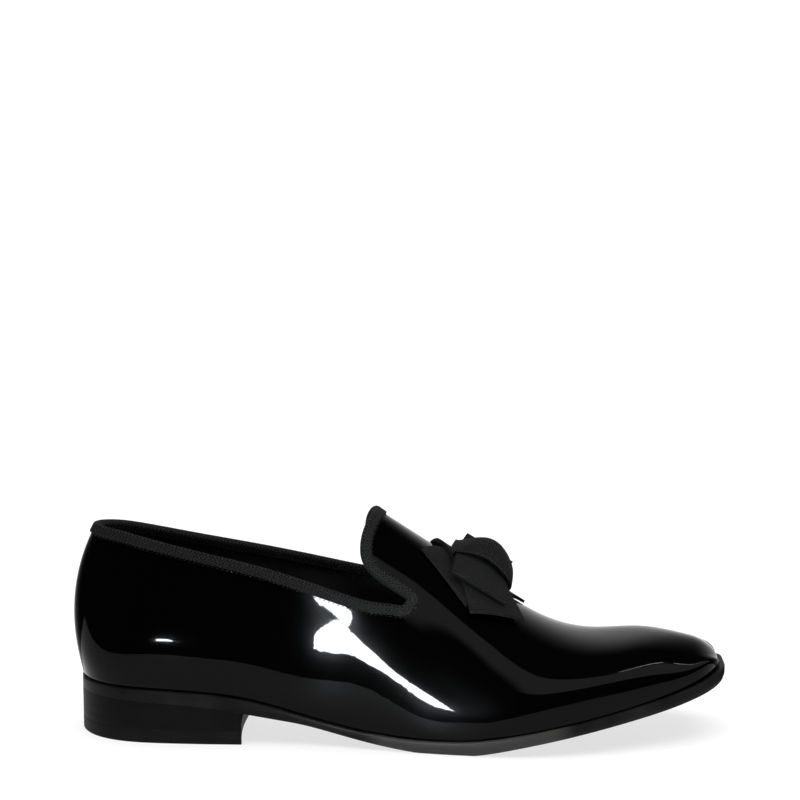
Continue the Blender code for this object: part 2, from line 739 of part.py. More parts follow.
def build_knot(material):
    """The puffed band that wraps the middle of the loops."""
    width = np.linspace(-KNOT_WIDTH / 2, KNOT_WIDTH / 2, KNOT_WIDTH_STEPS + 1)
    over = np.cos(np.linspace(0, math.pi, KNOT_ARCH_STEPS + 1))[:, None]
    under = np.linspace(-1, 1, KNOT_BASE_STEPS + 1)[:, None]
    swell = bulge(over) * np.sqrt(1 - (width / KNOT_ROUND) ** 2)
    arch = KNOT_EDGE + (KNOT_TOP - KNOT_EDGE) * swell
    base = np.full((len(under), len(width)), KNOT_BASE)
    height = LOOP_HEIGHT + np.concatenate([arch, base])
    ahead = LOOP_AHEAD + KNOT_HALF_LENGTH * np.concatenate([over, under])
    points = bow_points(ahead, width, height).reshape(*height.shape, 3)
    closed = np.concatenate([points, points[:1]]).reshape(-1, 3)
    item = add_object("bow_knot", closed, grid_faces(len(points) + 1, len(width), flip=True), material)
    thicken(item, RIBBON_THICKNESS, 0)


clear_scene()
parts = bpy.data.collections.new("loafer")
bpy.context.scene.collection.children.link(parts)
root = bpy.data.objects.new("loafer_frame", None)
parts.objects.link(root)
build_outsole()
build_heel()
build_insole()
build_upper()
build_binding()
ribbon_material = add_material("bow_ribbon_black", (0.022, 0.022, 0.023), 0.75)
build_under_ribbons(ribbon_material)
build_loops(ribbon_material)
build_knot(ribbon_material)
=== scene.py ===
"""Looks of the patent leather loafer: finer surfaces, ribbon, linings, stitches, light and camera.

The shape functions repeat those of the solids: sizes and tables are in millimetres, measured
along the shoe from the back of its heel, and objects are in metres.
"""

import math
from collections import namedtuple

import bmesh
import bpy
import numpy as np
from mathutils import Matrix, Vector


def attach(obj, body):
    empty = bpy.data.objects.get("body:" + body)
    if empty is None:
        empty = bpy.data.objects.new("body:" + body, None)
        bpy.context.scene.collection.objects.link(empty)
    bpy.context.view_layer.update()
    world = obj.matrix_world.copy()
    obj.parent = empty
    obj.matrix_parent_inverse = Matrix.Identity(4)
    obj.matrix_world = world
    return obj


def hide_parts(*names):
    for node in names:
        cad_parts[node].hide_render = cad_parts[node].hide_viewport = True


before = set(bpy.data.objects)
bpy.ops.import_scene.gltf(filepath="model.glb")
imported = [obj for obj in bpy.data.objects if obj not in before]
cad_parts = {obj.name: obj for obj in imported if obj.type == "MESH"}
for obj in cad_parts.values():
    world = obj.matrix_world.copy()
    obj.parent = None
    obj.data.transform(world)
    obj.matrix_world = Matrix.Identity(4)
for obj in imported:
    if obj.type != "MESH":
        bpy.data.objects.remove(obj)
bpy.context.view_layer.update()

MM = 0.001

# Sizes shared with the solids, in millimetres
SHOE_LENGTH = 299.2
MIDDLE_ALONG = 149.4
HEEL_AXIS_SIDE = 0.9
SEAT_GAP = 0.3
UPPER_WALL = 2.0
UPPER_TIP = 296.4
TOE_ROUND_START = 284.0
TOE_ROUND_POWER = 2.4
TOE_CORNER = 12.5
TONGUE_BLEND = 62.0
HEEL_LENGTH = 79.0
HEEL_BREAST_HOLLOW = 2.0
TOP_LIFT = 6.4
INSOLE_THICKNESS = 2.6
INSOLE_INSET = 3.4
INSOLE_END = 291.0
BINDING_WIDTH = 3.6
BINDING_THICKNESS = 0.7
BINDING_GAP = 0.45
BINDING_FOLD = 1.15
BOW_ALONG = 183.0
RIBBON_WIDTH = 30.8
RIBBON_THICKNESS = 0.5
RIBBON_LAYER_GAP = 0.9
LOOP_HEIGHT = 5.5
LOOP_AHEAD = 0.9
LOOP_START = 0.5
LOOP_GATHERED = 0.88
LOOP_TOP = 7.0
LOOP_EDGE = 0.9
LOOP_EDGE_SHARE = 0.97
LOOP_END_HEIGHT = 1.8
KNOT_WIDTH = 21.0
KNOT_HALF_LENGTH = 15.4
KNOT_TOP = 12.8
KNOT_EDGE = 2.0
KNOT_ROUND = 12.0
KNOT_BASE = -1.1
BULGE_POWER = 1.0
BULGE_LEAN = 0.42

# Steps of the finer meshes
UPPER_REAR = 110
UPPER_FRONT = 84
TOE_STEPS = 22
QUARTER_ROWS = 34
TONGUE_STEPS = 44
TONGUE_CROWDING = 1.6
COLLAR_CROWDING = 1.25
SOLE_REAR = 60
SOLE_FRONT = 50
SOLE_STEPS_ACROSS = 12
INSOLE_STEPS_ACROSS = 10
HEEL_STEPS = 48
BINDING_COLLAR_STEPS = 150
BINDING_TONGUE_STEPS = 70
BINDING_FOLD_STEPS = 8
BINDING_FLAT_STEPS = 4
RIBBON_RUN_STEPS = 40
RIBBON_FOLD_STEPS = 6
RIBBON_WIDTH_STEPS = 20
LOOP_RUN_STEPS = 24
LOOP_FOLD_STEPS = 14
LOOP_WIDTH_STEPS = 28
KNOT_ARCH_STEPS = 44
KNOT_BASE_STEPS = 12
KNOT_WIDTH_STEPS = 14
STITCH_RINGS = 6
STITCH_SIDES = 8
PLACE_SAMPLES = 2000
CLIMB_SAMPLES = 400
ARC_SAMPLES = 401
SLOPE_STEP_ALONG = 0.05
SLOPE_STEP_ACROSS = 0.001
WELD = 0.002
MITRE_LIMIT = 0.3
SHARP_ANGLE = 35.0

# Joints of sole and heel as they are dressed: the gap that stays, and the length over which
# the sole's lower edge turns from square to rounded in front of the heel
DRESSED_GAP = 0.04
SEAT_BLEND = 10.0

# Heights along the shoe: the feather is the seam of upper and sole, the bottom is the
# underside of the outsole at its edge, and the crown is how far its middle hangs lower.
Profile = namedtuple("Profile", "along feather bottom crown")
PROFILES = (
    Profile(0, 25.7, 19.8, 0.0),
    Profile(30, 25.2, 19.3, 0.0),
    Profile(55, 24.0, 17.8, 0.0),
    Profile(75, 22.1, 15.4, 0.6),
    Profile(90, 19.0, 12.4, 1.2),
    Profile(106, 14.5, 9.8, 1.2),
    Profile(122, 10.6, 6.2, 0.8),
    Profile(138, 7.8, 2.8, 0.4),
    Profile(154, 6.3, 0.5, 0.0),
    Profile(168, 6.2, -0.6, 0.0),
    Profile(182, 6.7, -0.3, 0.0),
    Profile(205, 10.0, 3.9, 0.0),
    Profile(230, 14.6, 8.8, 0.0),
    Profile(258, 20.0, 14.0, 0.0),
    Profile(284, 26.6, 20.2, 0.0),
    Profile(300, 32.4, 26.0, 0.0),
)

# Sections of the last. Each stands on a spine point and faces outward at a turn that swings
# from straight back at the heel to square across the shoe. The feather, belly and shoulder
# are distances out from the spine, and the crest is the top line over the foot.
Section = namedtuple(
    "Section",
    "along turn lateral medial belly_out belly_up"
    " shoulder_lateral shoulder_medial shoulder_z crest_side crest_z",
)
SECTIONS = (
    Section(33, 180, 29.7, 29.7, 3.7, 23.0, 22.6, 22.6, 95.4, 0.0, 126.0),
    Section(33, 150, 29.1, 29.8, 3.0, 18.0, 18.2, 19.6, 93.8, 0.0, 126.0),
    Section(33, 120, 28.4, 30.0, 1.2, 15.5, 14.5, 16.0, 90.9, 0.0, 125.0),
    Section(37, 97, 29.5, 30.0, 0.9, 18.2, 15.1, 14.8, 91.3, 0.0, 124.0),
    Section(60, 90, 30.8, 29.3, 1.1, 18.1, 17.8, 18.6, 88.3, 0.0, 122.0),
    Section(88, 90, 30.7, 27.0, 0.9, 16.9, 19.6, 22.0, 83.7, 1.0, 120.0),
    Section(115, 90, 31.8, 25.5, 0.9, 12.7, 22.7, 25.5, 80.9, 2.0, 117.0),
    Section(140, 90, 35.9, 27.5, 1.0, 9.4, 25.8, 28.0, 75.5, 3.0, 101.3),
    Section(165, 90, 40.9, 32.5, 1.1, 6.1, 27.6, 30.0, 65.4, 3.0, 84.5),
    Section(190, 90, 44.0, 39.0, 0.9, 4.8, 32.3, 32.0, 51.5, 3.0, 67.1),
    Section(215, 90, 44.0, 42.5, 0.5, 8.1, 32.9, 34.0, 42.0, 3.5, 51.1),
    Section(240, 90, 37.7, 41.5, -0.4, 6.7, 28.8, 34.0, 38.7, 5.0, 43.5),
    Section(262, 90, 28.6, 37.0, 0.0, 7.2, 19.8, 30.0, 40.8, 6.5, 44.5),
    Section(280, 90, 19.7, 30.5, -0.1, 6.4, 11.4, 24.5, 39.3, 7.0, 42.9),
    Section(UPPER_TIP, 90, 10.2, 25.0, 0.5, 6.1, 4.4, 19.0, 38.1, 7.5, 38.6),
)
MIRRORED_SECTIONS = 2

# Places of the seven section points across the shoe, from the outer feather over the
# crest at 1 to the inner feather at 2.
ACROSS_PLACES = (0.0, 0.2, 0.6, 1.0, 1.4, 1.8, 2.0)
CREST = 1.0

# How far the outsole's edge stands out from the feather.
Margin = namedtuple("Margin", "along margin")
SOLE_MARGINS = (
    Margin(0, 0.4),
    Margin(80, 0.8),
    Margin(150, 1.3),
    Margin(230, 1.5),
    Margin(SHOE_LENGTH, 2.7),
)
# Profiles of the sides, from top to bottom: inset from the edge, and share of the depth.
Level = namedtuple("Level", "inset depth")
SOLE_LEVELS = (
    Level(0.75, 0.0),
    Level(0.3, 0.03),
    Level(0.08, 0.08),
    Level(0.0, 0.15),
    Level(0.0, 0.55),
    Level(0.06, 0.66),
    Level(0.3, 0.74),
    Level(0.62, 0.92),
    Level(0.85, 0.98),
    Level(1.2, 1.0),
)
# The heel's side: layers of leather with fine grooves between them.
HEEL_LEVELS = (
    Level(0.02, 0.0),
    Level(0.0, 0.02),
    Level(0.0, 0.31),
    Level(0.02, 0.33),
    Level(0.0, 0.35),
    Level(0.0, 0.64),
    Level(0.02, 0.66),
    Level(0.0, 0.68),
    Level(0.0, 0.97),
    Level(0.08, 1.0),
)
LIFT_LEVELS = (
    Level(0.08, 0.0),
    Level(0.02, 0.03),
    Level(0.0, 0.08),
    Level(0.0, 0.9),
    Level(0.1, 0.96),
    Level(0.4, 1.0),
)
INSOLE_LEVELS = (Level(0.6, 0.0), Level(0.15, 0.06), Level(0.0, 0.25), Level(0.0, 1.0))

# The crossed flat ribbons: tilt from straight across, and height of the middle between layers.
Ribbon = namedtuple("Ribbon", "name tilt half_length middle_height")
UNDER_RIBBONS = (
    Ribbon("bow_ribbon_lower", -34.7, 27.8, 1.35),
    Ribbon("bow_ribbon_upper", 23.5, 30.9, 3.1),
)

# The standing loops of the bow: side of the shoe, reach from the middle, rise of their ends
# and share of the ribbon's width there.
Loop = namedtuple("Loop", "name side reach end_rise end_width")
STANDING_LOOPS = (
    Loop("bow_loop_lateral", 1, 22.5, -0.6, 1.0),
    Loop("bow_loop_medial", -1, 20.0, 8.0, 0.86),
)

# The edge of the collar, seen from the side.
Edge = namedtuple("Edge", "along outer_height inner_height")
TOPLINE = (
    Edge(8, 94.7, 94.7),
    Edge(26, 91.8, 91.8),
    Edge(58, 85.0, 84.8),
    Edge(88, 78.3, 78.7),
    Edge(122, 68.6, 70.8),
    Edge(142, 64.3, 66.8),
    Edge(150, 63.5, 65.5),
    Edge(153.2, 63.8, 65.7),
    Edge(155.3, 66.4, 67.9),
)
# The edge of the tongue, from the notch at rise 0 to its top at rise 1.
Tongue = namedtuple("Tongue", "rise along")
TONGUE_EDGE = (
    Tongue(0.000, 155.3),
    Tongue(0.020, 155.0),
    Tongue(0.045, 150.5),
    Tongue(0.080, 143.0),
    Tongue(0.142, 136.8),
    Tongue(0.262, 134.3),
    Tongue(0.478, 135.6),
    Tongue(0.758, 138.5),
    Tongue(1.000, 140.0),
)

# Soft troughs and ridges of the worn leather: side of the shoe, middle, half sizes along and
# beside the crease, tilt of its line from level, and height over the smooth last.
Crease = namedtuple("Crease", "side along up half_length half_width tilt height")
CREASES = (
    Crease(-1, 118.0, 67.3, 6.0, 3.0, -20.0, 0.045),
    Crease(-1, 125.8, 59.0, 8.0, 3.2, -20.0, -0.10),
    Crease(-1, 140.5, 54.5, 7.0, 8.0, -50.0, -0.17),
    Crease(-1, 157.0, 30.2, 32.0, 5.0, -27.3, 0.15),
)
# The groove of the back seam, and the extra section places that draw it.
SEAM_PLACES = (0.25, 0.5, 0.8, 1.2)
SEAM_DEPTH = 0.22
SEAM_HALF_WIDTH = 0.5
SEAM_END_ALONG = 25.0

# Rows of stitches beside the rim: reach into the leather, and height off its outer face.
Stitching = namedtuple("Stitching", "name reach height length gap")
STITCH_ROWS = (
    Stitching("rim_stitches_outer", BINDING_WIDTH + 0.5, 0.05, 1.3, 0.9),
    Stitching("rim_stitches_inner", BINDING_WIDTH + 1.4, -UPPER_WALL - 0.1, 2.0, 1.0),
)
STITCH_RADIUS = 0.22


def spline(places, rows):
    """A natural cubic curve through the rows, one for each place."""
    places = np.asarray(places, float)
    rows = np.asarray(rows, float).reshape(len(places), -1)
    gaps = np.diff(places)
    system = np.eye(len(places))
    pull = np.zeros_like(rows)
    for k in range(1, len(places) - 1):
        system[k, k - 1 : k + 2] = gaps[k - 1], 2 * (gaps[k - 1] + gaps[k]), gaps[k]
        rise_before = (rows[k] - rows[k - 1]) / gaps[k - 1]
        rise_after = (rows[k + 1] - rows[k]) / gaps[k]
        pull[k] = 6 * (rise_after - rise_before)
    bends = np.linalg.solve(system, pull)

    def curve(at):
        at = np.asarray(at, float)
        k = np.clip(np.searchsorted(places, at, side="right") - 1, 0, len(gaps) - 1)
        gap = gaps[k]
        before = ((places[k + 1] - at) / gap)[..., None]
        after = 1 - before
        straight = before * rows[k] + after * rows[k + 1]
        bent = (before**3 - before) * bends[k] + (after**3 - after) * bends[k + 1]
        return straight + bent * gap[..., None] ** 2 / 6

    return curve


profile_curve = spline([row.along for row in PROFILES], PROFILES)
topline_curve = spline([row.along for row in TOPLINE], TOPLINE)
tongue_rows = TONGUE_EDGE + tuple(row._replace(rise=2 - row.rise) for row in TONGUE_EDGE[-2::-1])
tongue_curve = spline([row.rise for row in tongue_rows], tongue_rows)
across_curve = spline(ACROSS_PLACES, np.eye(len(ACROSS_PLACES)))
margin_curve = spline([row.along for row in SOLE_MARGINS], SOLE_MARGINS)


def feather_height(along):
    return profile_curve(along)[..., 1]


def sole_bottom(along, share_across):
    """Height of the outsole's underside, lower in the middle of the waist, cut flat by the floor."""
    values = profile_curve(along)
    crown = values[..., 3] * (1 - (2 * np.asarray(share_across) - 1) ** 2)
    return np.maximum(values[..., 2] - crown, 0.0)


def outward(turn, side):
    """The plan direction of a section, on the outer side (-1) or the inner side (+1)."""
    angle = np.radians(turn)
    return np.stack([np.cos(angle), side * np.sin(angle)], axis=-1)


def run_length(points):
    """Distance along a line of points from its start to each of them."""
    steps = np.linalg.norm(np.diff(points, axis=0), axis=1)
    return np.concatenate([[0], np.cumsum(steps)])


def section_rows():
    """The sections with their spline places, after mirrored ones that carry them round the heel."""
    before = [row._replace(turn=360 - row.turn) for row in SECTIONS[MIRRORED_SECTIONS:0:-1]]
    rows = np.array(before + list(SECTIONS), float)
    reach = rows[:, 2] + rows[:, 4]
    belly = rows[:, :1] * [1, 0] + reach[:, None] * outward(rows[:, 1], -1)
    places = run_length(belly)
    return places - places[MIRRORED_SECTIONS], rows


section_places, section_values = section_rows()
section_curve = spline(section_places, section_values)
TIP_PLACE = section_places[-1]


def place_at(along):
    """The spline place of a section that stands square across the shoe."""
    places = np.linspace(0, TIP_PLACE, PLACE_SAMPLES)
    return np.interp(along, section_curve(places)[..., 0], places)


def toe_rounding(along):
    """Falls from 1 to 0 over the rounded end of the toe."""
    share = np.clip((along - TOE_ROUND_START) / (UPPER_TIP - TOE_ROUND_START), 0, 1)
    return np.maximum(1 - share**TOE_ROUND_POWER, 0) ** (1 / TOE_ROUND_POWER)


def section_points(place):
    """The seven points of the last's section at a place: (..., 7, 3) in millimetres."""
    row = Section(*np.moveaxis(section_curve(place), -1, 0))
    full = toe_rounding(row.along)
    spine = np.stack([row.along, np.zeros_like(row.along)], axis=-1)
    points = []
    halves = ((-1, row.lateral, row.shoulder_lateral), (1, row.medial, row.shoulder_medial))
    for side, half, shoulder in halves:
        direction = outward(row.turn, side)
        middle = side * row.crest_side
        pinch = TOE_CORNER * (1 - full) / (half - middle)
        distances = np.stack([half, half + row.belly_out * full, shoulder])
        distances -= pinch * (distances - middle)
        plans = spine + distances[..., None] * direction
        seat = feather_height(plans[0][..., 0])
        heights = (seat, seat + row.belly_up * full, seat + (row.shoulder_z - seat) * full)
        for plan, height in zip(plans, heights):
            points.append(np.concatenate([plan, height[..., None]], axis=-1))
    seat = feather_height(row.along)
    crest = np.stack([row.along, row.crest_side, seat + (row.crest_z - seat) * full], axis=-1)
    ordered = points[:3] + [crest] + points[:2:-1]
    return np.stack(ordered, axis=-2)


def last_surface(place, across):
    """Points of the last's outer surface, in millimetres from the back of the heel."""
    place, across = np.broadcast_arrays(np.asarray(place, float), np.asarray(across, float))
    weights = across_curve(across)
    return np.einsum("...k,...kc->...c", weights, section_points(place))


def surface_frame(place, across):
    """Slopes of the last along and across the shoe, and its outward normal."""
    place, across = np.broadcast_arrays(np.asarray(place, float), np.asarray(across, float))
    after = np.minimum(place + SLOPE_STEP_ALONG, TIP_PLACE)
    before = after - 2 * SLOPE_STEP_ALONG
    along = (last_surface(after, across) - last_surface(before, across)) / (2 * SLOPE_STEP_ALONG)
    high = np.minimum(across + SLOPE_STEP_ACROSS, 2 * CREST)
    low = high - 2 * SLOPE_STEP_ACROSS
    over = (last_surface(place, high) - last_surface(place, low)) / (2 * SLOPE_STEP_ACROSS)
    normal = np.cross(along, over)
    normal /= np.linalg.norm(normal, axis=-1, keepdims=True)
    return along, over, normal


def counted_from_outer(across, side):
    """Turns a place counted up from a side's own feather into one counted from the outer feather."""
    return across if side < 0 else 2 * CREST - across


def topline_across(places, side):
    """How far up its section the collar's edge lies, counted from that side's feather."""
    found = []
    column = Edge._fields.index("outer_height" if side < 0 else "inner_height")
    climb = np.linspace(0, CREST, CLIMB_SAMPLES)
    for place in np.atleast_1d(places):
        points = last_surface(place, counted_from_outer(climb, side))
        collar = topline_curve(np.maximum(points[:, 0], TOPLINE[0].along))[:, column]
        above = points[:, 2] - collar
        first = int(np.argmax(above > 0))
        share = above[first - 1] / (above[first - 1] - above[first])
        found.append(climb[first - 1] + share * (climb[first] - climb[first - 1]))
    return np.array(found)


NOTCH_PLACE = float(place_at(TOPLINE[-1].along))
OUTER_NOTCH = float(topline_across(NOTCH_PLACE, -1)[0])
INNER_NOTCH = float(topline_across(NOTCH_PLACE, 1)[0])


def tongue_route(count):
    """The tongue's edge from the outer notch over its top to the inner notch."""
    rise = np.linspace(0, 1, count + 1) ** TONGUE_CROWDING
    places = place_at(tongue_curve(rise)[:, 1])
    outer = OUTER_NOTCH + (CREST - OUTER_NOTCH) * rise
    inner = INNER_NOTCH + (CREST - INNER_NOTCH) * rise
    across = np.concatenate([outer, 2 * CREST - inner[-2::-1]])
    return np.concatenate([places, places[-2::-1]]), across


def collar_places(count):
    """Section places from the back seam to the notch, closer together at the notch."""
    share = 1 - (1 - np.linspace(0, 1, count + 1)) ** COLLAR_CROWDING
    return NOTCH_PLACE * share


def front_places(count, toe_count):
    """Section places from the notch to the tip of the toe, closer together at the tip."""
    toe = float(place_at(TOE_ROUND_START))
    vamp = np.linspace(NOTCH_PLACE, toe, count + 1)
    end = toe + (TIP_PLACE - toe) * np.sin(np.linspace(0, math.pi / 2, toe_count + 1))
    return np.concatenate([vamp, end[1:]])


def grid_faces(rows, columns, flip=False, first=0):
    """Quads of a grid of points that is numbered row by row from the first."""
    faces = []
    for i in range(rows - 1):
        for j in range(columns - 1):
            corner = first + i * columns + j
            face = (corner, corner + columns, corner + columns + 1, corner + 1)
            faces.append(face[::-1] if flip else face)
    return faces


def to_metres(points):
    """Moves points from the heel's frame to the origin under the middle of the shoe."""
    return (np.asarray(points, float) + [-MIDDLE_ALONG, HEEL_AXIS_SIDE, 0.0]) * MM


def add_mesh(name, points, faces, material):
    """A mesh object in the scene, from points in metres."""
    mesh = bpy.data.meshes.new(name)
    mesh.from_pydata(points, [], faces)
    mesh.materials.append(material)
    item = bpy.data.objects.new(name, mesh)
    bpy.context.scene.collection.objects.link(item)
    return item


def map_texture(mesh, name, spread):
    """Gives each point of a mesh its place on a texture map."""
    layer = mesh.uv_layers.new(name=name)
    corners = np.zeros(len(mesh.loops), int)
    mesh.loops.foreach_get("vertex_index", corners)
    layer.data.foreach_set("uv", np.asarray(spread, float)[corners].ravel())


def add_piece(name, points, faces, material, node, spread=None):
    """A smooth piece from points in millimetres, in place of a solid. Spread gives its texture map."""
    item = add_mesh(name, to_metres(points).tolist(), faces, material)
    mesh = item.data
    if spread is not None:
        map_texture(mesh, "ribbon", spread)
    work = bmesh.new()
    work.from_mesh(mesh)
    bmesh.ops.remove_doubles(work, verts=work.verts, dist=WELD * MM)
    work.to_mesh(mesh)
    work.free()
    mesh.shade_smooth()
    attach(item, "root")
    if node:
        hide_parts(node)
    return item


def thicken(item, thickness, offset, inside=0, even=True):
    """Gives an open surface its thickness. Inside is the material slot of its inner face."""
    solidify = item.modifiers.new("thickness", "SOLIDIFY")
    solidify.thickness = thickness * MM
    solidify.offset = offset
    solidify.use_even_offset = even
    solidify.material_offset = inside


def link(tree, source, target):
    tree.links.new(source, target)


def principled(name, colour, roughness, **sockets):
    """A material with its constants set on the shader's own sockets."""
    material = bpy.data.materials.new(name)
    material.use_nodes = True
    shader = material.node_tree.nodes["Principled BSDF"]
    shader.inputs["Base Color"].default_value = (*colour, 1.0)
    shader.inputs["Roughness"].default_value = roughness
    for socket, value in sockets.items():
        shader.inputs[socket.replace("_", " ")].default_value = value
    return material, material.node_tree, shader


def noise(tree, scale, detail, roughness=0.5):
    """Noise in the object's own coordinates."""
    place = tree.nodes.new("ShaderNodeTexCoord")
    node = tree.nodes.new("ShaderNodeTexNoise")
    node.inputs["Scale"].default_value = scale
    node.inputs["Detail"].default_value = detail
    node.inputs["Roughness"].default_value = roughness
    link(tree, place.outputs["Object"], node.inputs["Vector"])
    return node.outputs["Fac"]


def math_node(tree, operation, first, second):
    node = tree.nodes.new("ShaderNodeMath")
    node.operation = operation
    for socket, value in zip(node.inputs, (first, second)):
        if isinstance(value, (int, float)):
            socket.default_value = value
        else:
            link(tree, value, socket)
    return node.outputs["Value"]


def times(tree, first, second):
    return math_node(tree, "MULTIPLY", first, second)


def plus(tree, first, second):
    return math_node(tree, "ADD", first, second)


def minus(tree, first, second):
    return math_node(tree, "SUBTRACT", first, second)


def axes(tree, vector):
    """The X, Y and Z of a vector."""
    node = tree.nodes.new("ShaderNodeSeparateXYZ")
    link(tree, vector, node.inputs["Vector"])
    return node.outputs


def texture_place(tree, name):
    """Places on a texture map of the mesh."""
    node = tree.nodes.new("ShaderNodeUVMap")
    node.uv_map = name
    return axes(tree, node.outputs["UV"])


def bump(tree, height, strength, distance):
    node = tree.nodes.new("ShaderNodeBump")
    node.inputs["Strength"].default_value = strength
    node.inputs["Distance"].default_value = distance
    link(tree, height, node.inputs["Height"])
    return node.outputs["Normal"]


def smooth_step(tree, value, low, high):
    """0 below low, 1 above high, and smooth between them."""
    node = tree.nodes.new("ShaderNodeMapRange")
    node.interpolation_type = "SMOOTHSTEP"
    node.inputs["From Min"].default_value = low
    node.inputs["From Max"].default_value = high
    link(tree, value, node.inputs["Value"])
    return node.outputs["Result"]


def ramp(tree, value, low, high, dark, light):
    """A colour between dark and light as the value goes from low to high."""
    node = tree.nodes.new("ShaderNodeValToRGB")
    node.color_ramp.elements[0].position = low
    node.color_ramp.elements[1].position = high
    node.color_ramp.elements[0].color = (*dark, 1.0)
    node.color_ramp.elements[1].color = (*light, 1.0)
    link(tree, value, node.inputs["Fac"])
    return node.outputs["Color"]


def patent_leather():
    """Black leather under a mirror-like lacquer with a faint ripple."""
    material, tree, shader = principled(
        "patent_leather", (0.0008, 0.0008, 0.0009), 0.13, Specular_IOR_Level=0.01,
        Coat_Weight=1.0, Coat_Roughness=0.02, Coat_IOR=1.175,
    )
    grain = times(tree, noise(tree, 700.0, 2.0), 0.08)
    ripple = bump(tree, plus(tree, noise(tree, 95.0, 2.0), grain), 0.012, 0.002)
    link(tree, ripple, shader.inputs["Coat Normal"])
    return material


# Plain finishes: a fine grain in relief, and a mottle between two colours.
Grain = namedtuple("Grain", "scale detail strength depth")
Mottle = namedtuple("Mottle", "scale detail dark light")


def plain_finish(name, roughness, specular, grain, mottle):
    """A material with a grain in relief and a mottled colour."""
    material, tree, shader = principled(name, mottle.light, roughness, Specular_IOR_Level=specular)
    relief_height = noise(tree, grain.scale, grain.detail)
    link(tree, bump(tree, relief_height, grain.strength, grain.depth), shader.inputs["Normal"])
    shades = ramp(tree, noise(tree, mottle.scale, mottle.detail), 0.3, 0.7, mottle.dark, mottle.light)
    link(tree, shades, shader.inputs["Base Color"])
    return material


def lining_leather():
    """Matt black lining with a fine grain."""
    mottle = Mottle(60.0, 3.0, (0.008, 0.008, 0.0075), (0.016, 0.015, 0.0145))
    return plain_finish("lining_leather", 0.5, 0.5, Grain(1500.0, 4.0, 0.25, 0.0002), mottle)


# Weaves of the ribbons: pitch of the ribs and of the beads on them, in millimetres, and how far
# the ribs stand out over the beads.
Weave = namedtuple("Weave", "pitch bead ribbed")
BINDING_WEAVE = Weave(1.7, 1.8, 0.1)
BOW_WEAVE = Weave(1.15, 1.5, 0.3)


def grosgrain(name, dark, light, weave):
    """Ribbed ribbon in millimetres of its length and width, with ribs beaded by their threads."""
    material, tree, shader = principled(name, light, 0.7, Specular_IOR_Level=0.2)
    place = texture_place(tree, "ribbon")
    wobble = times(tree, noise(tree, 700.0, 3.0), 2.5)
    turn = times(tree, place["X"], 2 * math.pi / weave.pitch)
    rib = math_node(tree, "SINE", plus(tree, turn, wobble), 0.0)
    cross_turn = times(tree, place["Y"], 2 * math.pi / weave.bead)
    beads = times(tree, rib, math_node(tree, "SINE", cross_turn, 0.0))
    beaded = times(tree, beads, 0.5 - weave.ribbed)
    both = plus(tree, beaded, times(tree, rib, weave.ribbed))
    height = plus(tree, both, 0.5)
    link(tree, bump(tree, height, 1.0, 0.0005), shader.inputs["Normal"])
    # Painted highlights and painted shade: the colour is lighter on the raised beads and darker between
    # the ribs, with a random share.
    painted_glints_and_groove_shade = times(tree, height, plus(tree, noise(tree, 1100.0, 2.0), 0.5))
    link(tree, ramp(tree, painted_glints_and_groove_shade, 0.25, 1.0, dark, light), shader.inputs["Base Color"])
    return material


def waxed_thread():
    """Black thread with a waxy gloss and a fine twist."""
    mottle = Mottle(900.0, 2.0, (0.006, 0.006, 0.006), (0.016, 0.016, 0.016))
    return plain_finish("waxed_thread", 0.25, 0.4, Grain(2500.0, 2.0, 0.4, 0.0001), mottle)


# The paler place at the ball: how far its middle lies ahead of the shoe's, half its length, and
# how much paler it is.
PaleSpot = namedtuple("PaleSpot", "middle half_length paler")
BALL_PALE_SPOT = PaleSpot(32.0, 50.0, 1.3)
DRESSED_SHEEN = 0.06


def sole_leather(name, dark, light, roughness, pale_spot=None):
    """Dressed black leather with a sheen, paler at a place at the ball. The sheen is taken off where a
    face looks ahead, as painted shade on the heel's breast.
    """
    material, tree, shader = principled(name, light, roughness)
    link(tree, bump(tree, noise(tree, 700.0, 5.0, 0.6), 0.3, 0.0003), shader.inputs["Normal"])
    facing = axes(tree, tree.nodes.new("ShaderNodeNewGeometry").outputs["Normal"])
    # Painted shade: faces that look ahead, such as the heel's breast, lose their sheen and stay dark.
    sheen_cut_for_painted_shade = minus(tree, 1.0, smooth_step(tree, facing["X"], 0.4, 0.9))
    link(tree, times(tree, sheen_cut_for_painted_shade, DRESSED_SHEEN), shader.inputs["Specular IOR Level"])
    shade = plus(tree, times(tree, noise(tree, 45.0, 4.0), 0.3), 0.36)
    # Paler at a place at the ball, with a random share.
    if pale_spot:
        place = axes(tree, tree.nodes.new("ShaderNodeTexCoord").outputs["Object"])
        off = minus(tree, place["X"], pale_spot.middle * MM)
        away = times(tree, off, off)
        near = minus(tree, 1.0, smooth_step(tree, away, 0.0, (pale_spot.half_length * MM) ** 2))
        paler_there = times(tree, near, plus(tree, noise(tree, 260.0, 4.0), 0.5))
        shade = plus(tree, shade, times(tree, paler_there, pale_spot.paler))
    link(tree, ramp(tree, shade, 0.41, 1.7, dark, light), shader.inputs["Base Color"])
    return material


def heel_rubber():
    """Matt black rubber with a fine moulded grain."""
    mottle = Mottle(80.0, 3.0, (0.0022, 0.0022, 0.0022), (0.0042, 0.0042, 0.0042))
    return plain_finish("heel_rubber", 0.55, 0.1, Grain(1800.0, 3.0, 0.35, 0.0002), mottle)


